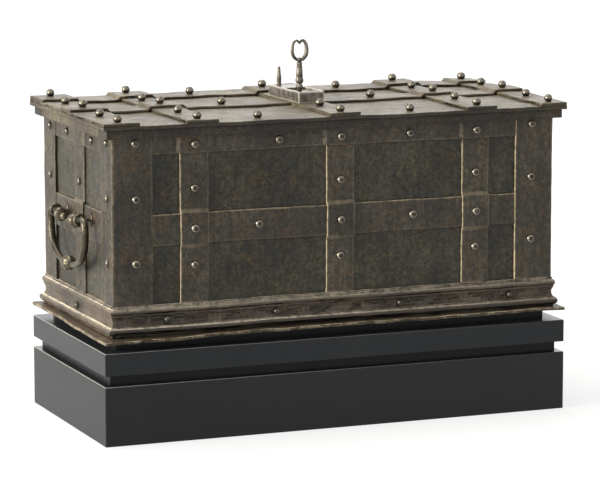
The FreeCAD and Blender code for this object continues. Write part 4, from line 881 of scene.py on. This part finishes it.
def stud_seat(group, body):
    """Where a CAD stud sits, the way it points, its radius and height, and its shine."""
    low = Vector([min(corner[axis] for corner in group) for axis in range(3)])
    high = Vector([max(corner[axis] for corner in group) for axis in range(3)])
    centre = (low + high) / 2
    size = high - low
    if body == "lid":
        return Vector((centre.x, centre.y, low.z)), UP, size.x / 2, size.z, STUD_SHINE
    if size.x < size.y:
        side = math.copysign(1.0, centre.x)
        normal = Vector((side, 0, 0))
        seat = Vector((centre.x - side * size.x / 2, centre.y, centre.z))
        radius, height, shine = size.y / 2, size.x, END_STUD_SHINE
    else:
        side = math.copysign(1.0, centre.y)
        normal = Vector((0, side, 0))
        seat = Vector((centre.x, centre.y - side * size.y / 2, centre.z))
        radius, height, shine = size.x / 2, size.y, STUD_SHINE
    if centre.z < LOW_STUDS:
        shine = LOW_STUD_SHINE
    return seat, normal, radius, height, shine


def make_studs(node, body, name, line, flat_count, material, grow=0.0):
    """Every stud of a node, on the strayed plates, from the place of each CAD solid."""
    chance = random.Random(node)
    bm = bmesh.new()
    bm.verts.layers.float.new("worn")
    for group in islands(node):
        seat, normal, radius, height, shine = stud_seat(group, body)
        seat += stray(seat, body) - normal * STUD_SINK
        add_stud(bm, chance, seat, normal, radius, height + STUD_SINK + grow, line, flat_count, shine)
    settle(closed_piece(name, bm, material), body, node)


def sweep(bm, points, radii, around, fluting=None):
    """A bar of changing radius along a line of points, closed at both ends."""
    rings = []
    side = None
    for index, point in enumerate(points):
        before = points[max(index - 1, 0)]
        after = points[min(index + 1, len(points) - 1)]
        along = (after - before).normalized()
        if side is None:
            side = along.orthogonal().normalized()
        side = (side - along * side.dot(along)).normalized()
        other = along.cross(side)
        ring = []
        for step in range(around):
            angle = FULL_TURN * step / around
            reach = radii[index]
            if fluting:
                reach *= fluting(index, angle)
            ring.append(bm.verts.new(point + (side * math.cos(angle) + other * math.sin(angle)) * reach))
        rings.append(ring)
    for lower, upper in zip(rings[:-1], rings[1:]):
        stitch(bm, lower, upper)
    bm.faces.new(list(reversed(rings[0])))
    bm.faces.new(rings[-1])


def turn_upright(bm, x, y, base, line, around):
    """A turned bar on an upright axis, from a line of heights above its base and radii."""
    points = [Vector((x, y, base + height)) for height, radius in line]
    sweep(bm, points, [radius for height, radius in line], around)


def curve_through(corners, steps):
    """Points on a smooth line through the corners, each with its blended radius."""
    ends = [corners[0]] + list(corners) + [corners[-1]]
    line = []
    for span in zip(ends, ends[1:], ends[2:], ends[3:]):
        for step in range(steps):
            t = step / steps
            line.append(tuple(
                0.5 * (2 * start + (stop - back) * t + (2 * back - 5 * start + 4 * stop - ahead) * t * t
                       + (3 * start - back - 3 * stop + ahead) * t ** 3)
                for back, start, stop, ahead in zip(*span)
            ))
    line.append(tuple(corners[-1]))
    return line


# The drop handles: their middle along Y, how far out their axis and the wall's face are, and
# one half of the bar's line: y from the middle, height from the axis and the bar's radius.
HANDLE_MIDDLE = -0.005
HANDLE_OUT = 0.45
WALL_OUT = 0.429
BAIL_LINE = (
    (0.0240, -0.0060, 0.0050), (0.0450, -0.0035, 0.0048), (0.0690, 0.0000, 0.0046),
    (0.0840, 0.0030, 0.0056), (0.0960, -0.0050, 0.0066), (0.0985, -0.0250, 0.0069),
    (0.0940, -0.0480, 0.0069), (0.0810, -0.0680, 0.0066), (0.0540, -0.0815, 0.0060),
    (0.0260, -0.0875, 0.0054), (0.0000, -0.0880, 0.0054),
)
BAIL_STEPS = 8
BAIL_AROUND = 16
# Unevenness of forged bars and balls: share of the radius, and how fine it is.
BAR_DENTS = (0.04, 90)
BALL_DENTS = (0.03, 260)
BALL_SEGMENTS = (20, 12)
BALL_TIP = 0.0068
# The collar behind each ball end, along the bar: place and radius.
COLLAR_LINE = ((0.0335, 0.0050), (0.0345, 0.0100), (0.0370, 0.0124), (0.0395, 0.0127), (0.0410, 0.0112),
               (0.0425, 0.0112), (0.0440, 0.0126), (0.0465, 0.0120), (0.0490, 0.0095), (0.0500, 0.0050))
COLLAR_DROP = -0.0045
COLLAR_AROUND = 26
# The knop along its axis: half of the outline, from the middle out.
KNOP_LINE = ((0.000, 0.0134), (0.004, 0.0131), (0.008, 0.0118), (0.011, 0.0098), (0.0125, 0.0084),
             (0.0135, 0.0082), (0.015, 0.0092), (0.0165, 0.0092), (0.018, 0.0080), (0.0195, 0.0054))
KNOP_AROUND = 54
# Its ridges: how many, how deep, how far out they reach, and their twist in radians a metre.
KNOP_RIDGES = 7
RIDGE_DEPTH = 0.09
RIDGE_REACH = 0.0120
RIDGE_TWIST = 230


def dented(place, dents):
    share, fineness = dents
    return 1 + share * noise.noise(place * fineness)


def add_ball(bm, centre, radius):
    around, up = BALL_SEGMENTS
    made = bmesh.ops.create_uvsphere(bm, u_segments=around, v_segments=up, radius=radius)
    turn = Matrix.Rotation(math.pi / 2, 4, "X")
    for vert in made["verts"]:
        vert.co = centre + (turn @ vert.co) * dented(vert.co, BALL_DENTS)


def add_bail(bm, side):
    """The bar through both eyes, its ball ends, and the twisted knop at the bottom."""
    half = curve_through(BAIL_LINE, BAIL_STEPS)
    line = half[:-1] + [(-y, z, radius) for y, z, radius in reversed(half)]
    points = [Vector((side * HANDLE_OUT, HANDLE_MIDDLE + y, EYE_HEIGHT + z)) for y, z, radius in line]
    radii = [radius * dented(point, BAR_DENTS) for point, (y, z, radius) in zip(points, line)]
    sweep(bm, points, radii, BAIL_AROUND)
    for end in (points[0], points[-1]):
        add_ball(bm, end, BALL_TIP)
    for way in (-1, 1):
        collar = [Vector((side * HANDLE_OUT, HANDLE_MIDDLE + way * along, EYE_HEIGHT + COLLAR_DROP))
                  for along, radius in COLLAR_LINE]
        sweep(bm, collar, [radius for along, radius in COLLAR_LINE], COLLAR_AROUND)
    knop = [(-along, radius) for along, radius in reversed(KNOP_LINE[1:])] + list(KNOP_LINE)
    bottom = Vector((side * HANDLE_OUT, HANDLE_MIDDLE, EYE_HEIGHT + BAIL_LINE[-1][1]))

    def twist(index, angle):
        along = knop[index][0]
        depth = RIDGE_DEPTH if abs(along) < RIDGE_REACH else 0.0
        return 1 + depth * math.cos(KNOP_RIDGES * angle + along * RIDGE_TWIST)

    points = [bottom + Vector((0, along, 0)) for along, radius in knop]
    sweep(bm, points, [radius for along, radius in knop], KNOP_AROUND, twist)


EYE_RING = 0.0092
EYE_WIRE = 0.0032
EYE_AROUND = 30
WIRE_AROUND = 12
# The eye's shank: its radius in the wall, halfway and at the ring, and how deep it is sunk.
EYE_SHANK = (0.0052, 0.0036, 0.0040)
EYE_SHANK_AROUND = 14
EYE_SHANK_SUNK = 0.001
# The rosette from its rim in: share of the radius, and height above the wall.
ROSETTE_RADIUS = 0.0130
ROSETTE_LINE = ((1.0, 0.0), (1.0, 0.0012), (0.93, 0.0024), (0.78, 0.0030), (0.62, 0.0024), (0.50, 0.0030),
                (0.36, 0.0052))
ROSETTE_AROUND = 48
PETALS = 8
PETAL_DEPTH = 0.10
# The petals rise from this share of the radius, over as much again.
PETAL_ROOT = 0.4


def add_ring(bm, centre):
    """The round wire of an eye, about an axis along Y."""
    rings = []
    for step in range(EYE_AROUND):
        angle = FULL_TURN * step / EYE_AROUND
        out = Vector((math.cos(angle), 0, math.sin(angle)))
        ring = []
        for part in range(WIRE_AROUND):
            turn = FULL_TURN * part / WIRE_AROUND
            offset = out * math.cos(turn) + Vector((0, 1, 0)) * math.sin(turn)
            ring.append(bm.verts.new(centre + out * EYE_RING + offset * EYE_WIRE))
        rings.append(ring)
    for step in range(EYE_AROUND):
        stitch(bm, rings[step], rings[(step + 1) % EYE_AROUND])


def add_rosette(bm, side, place):
    """A petalled rosette on an end wall."""
    rows = []
    for share, height in ROSETTE_LINE:
        row = []
        for step in range(ROSETTE_AROUND):
            angle = FULL_TURN * step / ROSETTE_AROUND
            notch = PETAL_DEPTH * (1 - abs(math.cos(PETALS * angle / 2)))
            reach = ROSETTE_RADIUS * share * (1 - notch * smooth_step((share - PETAL_ROOT) / PETAL_ROOT))
            row.append(bm.verts.new((side * (WALL_OUT + height), place + reach * math.cos(angle),
                                     EYE_HEIGHT + reach * math.sin(angle))))
        rows.append(row)
    for lower, upper in zip(rows[:-1], rows[1:]):
        stitch(bm, lower, upper)
    bm.faces.new(rows[0])
    bm.faces.new(rows[-1])


def add_eye(bm, side, place):
    """A ring for the bar, its shank, and the rosette behind it."""
    add_ring(bm, Vector((side * HANDLE_OUT, place, EYE_HEIGHT)))
    wall = Vector((side * (WALL_OUT - EYE_SHANK_SUNK), place, EYE_HEIGHT))
    near = Vector((side * (HANDLE_OUT - EYE_RING), place, EYE_HEIGHT))
    sweep(bm, [wall, wall.lerp(near, 0.5), near], EYE_SHANK, EYE_SHANK_AROUND)
    add_rosette(bm, side, place)


def make_handles():
    eyes = bmesh.new()
    for side, body in ((-1, "left_bail"), (1, "right_bail")):
        bm = bmesh.new()
        add_bail(bm, side)
        settle(closed_piece(body + "_forged", bm, "handle_iron"), body, body)
        for place in EYE_PLACES:
            add_eye(eyes, side, place)
    settle(closed_piece("handle_rosettes", eyes, "handle_iron"), "chest", "handle_eyes")


# The key's turned shank: height and radius.
SHANK_LINE = (
    (0.5455, 0.0045), (0.5980, 0.0045), (0.5985, 0.0062), (0.6015, 0.0066), (0.6035, 0.0060),
    (0.6050, 0.0046), (0.6065, 0.0050), (0.6085, 0.0067), (0.6110, 0.0075), (0.6135, 0.0076),
    (0.6160, 0.0068), (0.6180, 0.0056), (0.6195, 0.0064), (0.6250, 0.0062), (0.6340, 0.0055),
    (0.6420, 0.0048), (0.6435, 0.0056), (0.6450, 0.0056), (0.6460, 0.0042),
)
SHANK_AROUND = 28
# The ball under the bow: height and radius.
BOSS = (0.6500, 0.0050)
# One half of the bow: out from the key's axis, height and the bar's radius. The left bar is thinner.
BOW_LINE = (
    (0.0000, 0.6500, 0.0032), (0.0050, 0.6510, 0.0034), (0.0105, 0.6555, 0.0038), (0.0138, 0.6630, 0.0040),
    (0.0142, 0.6720, 0.0036), (0.0125, 0.6800, 0.0032), (0.0085, 0.6853, 0.0028), (0.0045, 0.6859, 0.0026),
    (0.0015, 0.6832, 0.0023), (0.0000, 0.6797, 0.0014),
)
BOW_STEPS = 7
BOW_AROUND = 14
LEFT_BAR_SHARE = 0.82
# The bit: its heights, how far it reaches from the axis, half its thickness, and its slot.
BIT_LOW = 0.5465
BIT_HIGH = 0.5555
BIT_REACH = 0.0076
BIT_HALF = 0.0013
BIT_SLOT = 0.0020


def add_bit(bm, x, y):
    """The key's flat bit towards the front, slotted from its edge to halfway in."""
    middle = (BIT_LOW + BIT_HIGH) / 2
    slot_low, slot_high = middle - BIT_SLOT / 2, middle + BIT_SLOT / 2
    outline = [
        (0.0, BIT_LOW), (BIT_REACH, BIT_LOW), (BIT_REACH, slot_low), (BIT_REACH / 2, slot_low),
        (BIT_REACH / 2, slot_high), (BIT_REACH, slot_high), (BIT_REACH, BIT_HIGH), (0.0, BIT_HIGH),
    ]
    left, right = [[bm.verts.new((x + along, y - out, z)) for out, z in outline]
                   for along in (-BIT_HALF, BIT_HALF)]
    stitch(bm, left, right)
    bm.faces.new(left)
    bm.faces.new(list(reversed(right)))


def make_key():
    bm = bmesh.new()
    x, y = KEY_AXIS.x, KEY_AXIS.y
    turn_upright(bm, x, y, 0.0, SHANK_LINE, SHANK_AROUND)
    boss_height, boss_radius = BOSS
    add_ball(bm, Vector((x, y, boss_height)), boss_radius)
    line = curve_through(BOW_LINE, BOW_STEPS)
    for side, share in ((1, 1.0), (-1, LEFT_BAR_SHARE)):
        points = [Vector((x + side * out, y, z)) for out, z, radius in line]
        sweep(bm, points, [radius * share for out, z, radius in line], BOW_AROUND)
    add_bit(bm, x, y)
    settle(closed_piece("turned_key", bm, "lock_steel"), "key", "key")


# The keyhole's cover: the height of its top, how far above that its CAD peg is cut off, how
# far above the cut its corners show the peg's place, and the rounding of its edges.
COVER_TOP = 0.596
COVER_CUT = 0.0005
PEG_ABOVE = 0.0068
COVER_BEVEL = 0.0004
# The cover's peg: height above the cover's top, and radius.
PEG_LINE = ((-0.0005, 0.0040), (0.0008, 0.0046), (0.0024, 0.0046), (0.0034, 0.0041), (0.0060, 0.0043),
            (0.0120, 0.0044), (0.0175, 0.0042), (0.0205, 0.0037), (0.0225, 0.0031), (0.0240, 0.0033),
            (0.0275, 0.0030), (0.0290, 0.0024), (0.0305, 0.0026), (0.0325, 0.0027), (0.0340, 0.0022),
            (0.0348, 0.0012))
PEG_AROUND = 24


def make_cover():
    """The sliding cover with its edges eased, and its peg turned."""
    bm = welded("keyhole_cover")
    cut = Vector((0.0, 0.0, COVER_TOP + COVER_CUT))
    above = [vert.co.copy() for vert in bm.verts if vert.co.z > cut.z + PEG_ABOVE]
    cut_mesh(bm, cut, UP, clear=True)
    bmesh.ops.holes_fill(bm, edges=[edge for edge in bm.edges if edge.is_boundary])
    ease_edges(bm, COVER_BEVEL)
    x, y = [(min(corner[axis] for corner in above) + max(corner[axis] for corner in above)) / 2
            for axis in range(2)]
    turn_upright(bm, x, y, COVER_TOP, PEG_LINE, PEG_AROUND)
    piece = closed_piece("eased_cover", bm, "lock_steel")
    weigh_normals(piece)
    settle(piece, "keyhole_cover", "keyhole_cover")


WALL_BEVEL = 0.0012
LID_BEVEL = 0.0017
PLINTH_CELL = 0.06
WALLS = ("front", "right", "back", "left")
LID_STRAPS = 5
# Blocks with rounded edges and true faces, and their finish.
PLINTH_BLOCKS = {"plinth_base": "satin_lacquer", "plinth_slab": "black_lacquer"}
# Pieces that keep their CAD mesh and look unlike the rest of their slot; the plinth's recessed reveal and
# riser get painted shade.
FINISHES = {"plinth_reveal": "inner_lacquer", "plinth_riser": "inner_lacquer", "lock_plate": "rail_iron"}


def forged_nodes():
    """The board, the plates, bands, straps and mouldings, and the key's box."""
    nodes = ["bottom_board"]
    for part in ("panel", "moulding"):
        nodes += [wall + "_" + part for wall in WALLS]
    nodes += [face + "_" + side + "_corner" for face in ("front", "back") for side in ("left", "right")]
    for part in ("top_band", "middle_band"):
        nodes += [wall + "_" + part for wall in WALLS]
    nodes += ["front_upright_" + place for place in ("left", "middle", "right")]
    nodes += ["end_uprights", "lid_plate", "lid_end_rails"]
    nodes += ["lid_cross_strap_" + str(number + 1) for number in range(LID_STRAPS)]
    nodes += ["lid_middle_strap", "lid_rear_strap", "key_box"]
    return nodes


def make_scene():
    for node in forged_nodes():
        forge(node, LID_BEVEL if frame["nodes"][node]["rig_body"] == "lid" else WALL_BEVEL)
    # The lid's long rails get the darker iron, without the painted sheen of the lid's top.
    forge("lid_long_rails", WALL_BEVEL, finish="rail_iron")
    for node, finish in PLINTH_BLOCKS.items():
        forge(node, WALL_BEVEL, PLINTH_CELL, uneven=False, finish=finish)
    make_studs("body_studs", "chest", "wall_studs", DOME_LINE, DOME_FLATS, "polished_studs")
    make_studs("lid_studs", "lid", "ball_studs", BALL_LINE, BALL_FLATS, "ball_steel", BALL_GROW)
    make_handles()
    make_key()
    make_cover()
    for name, source in frame["nodes"].items():
        if not source.hide_render:
            finish = FINISHES.get(name, source.data.materials[0].name)
            source.data.materials[0] = MATERIALS[finish]


# The studio: a white sky, a pale floor that the camera sees brighter than it lights, and lamps.
FLOOR_HALF = 30.0
FLOOR_GREY = 0.25
FLOOR_LIFT = 0.74
SKY = 1.0
AMBIENT = 0.22
# Each lamp: the way from the object to it, its strength, its spread in degrees and its colour.
LAMPS = {
    "left_light": ((-1.0, -0.06, 0.20), 6.5, 40.0, (1.0, 0.975, 0.89)),
    "top_light": ((-0.18, 0.24, 1.0), 2.75, 40.0, (1.0, 0.98, 0.93)),
    "front_light": ((0.25, -1.0, 0.55), 0.28, 60.0, (0.84, 0.93, 1.0)),
    "back_light": ((0.6, 1.0, 0.35), 0.8, 50.0, (1.0, 1.0, 1.0)),
}


def make_lamp(name, towards, strength, spread, colour):
    data = bpy.data.lights.new(name, "SUN")
    data.energy = strength
    data.angle = math.radians(spread)
    data.color = colour
    lamp = bpy.data.objects.new(name, data)
    bpy.context.scene.collection.objects.link(lamp)
    lamp.rotation_mode = "QUATERNION"
    lamp.rotation_quaternion = Vector(towards).to_track_quat("Z", "Y")


def is_seen(tree):
    """1 for rays of the camera and for mirrored or refracted ones, else 0."""
    path = add(tree, "ShaderNodeLightPath")
    seen = maths(tree, "ADD", path.outputs["Is Camera Ray"], path.outputs["Is Glossy Ray"])
    return maths(tree, "ADD", seen, path.outputs["Is Transmission Ray"], clamp=True)


def make_sky():
    world = bpy.data.worlds.new("studio")
    bpy.context.scene.world = world
    world.use_nodes = True
    tree = world.node_tree
    backdrop = tree.nodes["Background"]
    backdrop.inputs["Color"].default_value = WHITE
    strength = add(tree, "ShaderNodeMapRange", {
        "Value": is_seen(tree), "To Min": AMBIENT, "To Max": SKY,
    })
    tree.links.new(strength.outputs["Result"], backdrop.inputs["Strength"])


def make_floor():
    bm = bmesh.new()
    corners = ((-1, -1), (1, -1), (1, 1), (-1, 1))
    bm.faces.new([bm.verts.new((x * FLOOR_HALF, y * FLOOR_HALF, 0.0)) for x, y in corners])
    material = bpy.data.materials.new("floor")
    material.use_nodes = True
    tree = material.node_tree
    shader = tree.nodes["Principled BSDF"]
    shader.inputs["Base Color"].default_value = (FLOOR_GREY, FLOOR_GREY, FLOOR_GREY, 1.0)
    shader.inputs["Roughness"].default_value = 1.0
    shader.inputs["Specular IOR Level"].default_value = 0.0
    shader.inputs["Emission Color"].default_value = WHITE
    lift = maths(tree, "MULTIPLY", is_seen(tree), FLOOR_LIFT)
    tree.links.new(lift, shader.inputs["Emission Strength"])
    floor = mesh_object("floor", bm, material, smooth=False)


def make_studio():
    make_sky()
    make_floor()
    for name, (towards, strength, spread, colour) in LAMPS.items():
        make_lamp(name, towards, strength, spread, colour)
    bpy.context.scene.view_settings.view_transform = "Standard"


make_camera()
MATERIALS = make_materials()
make_scene()
make_studio()
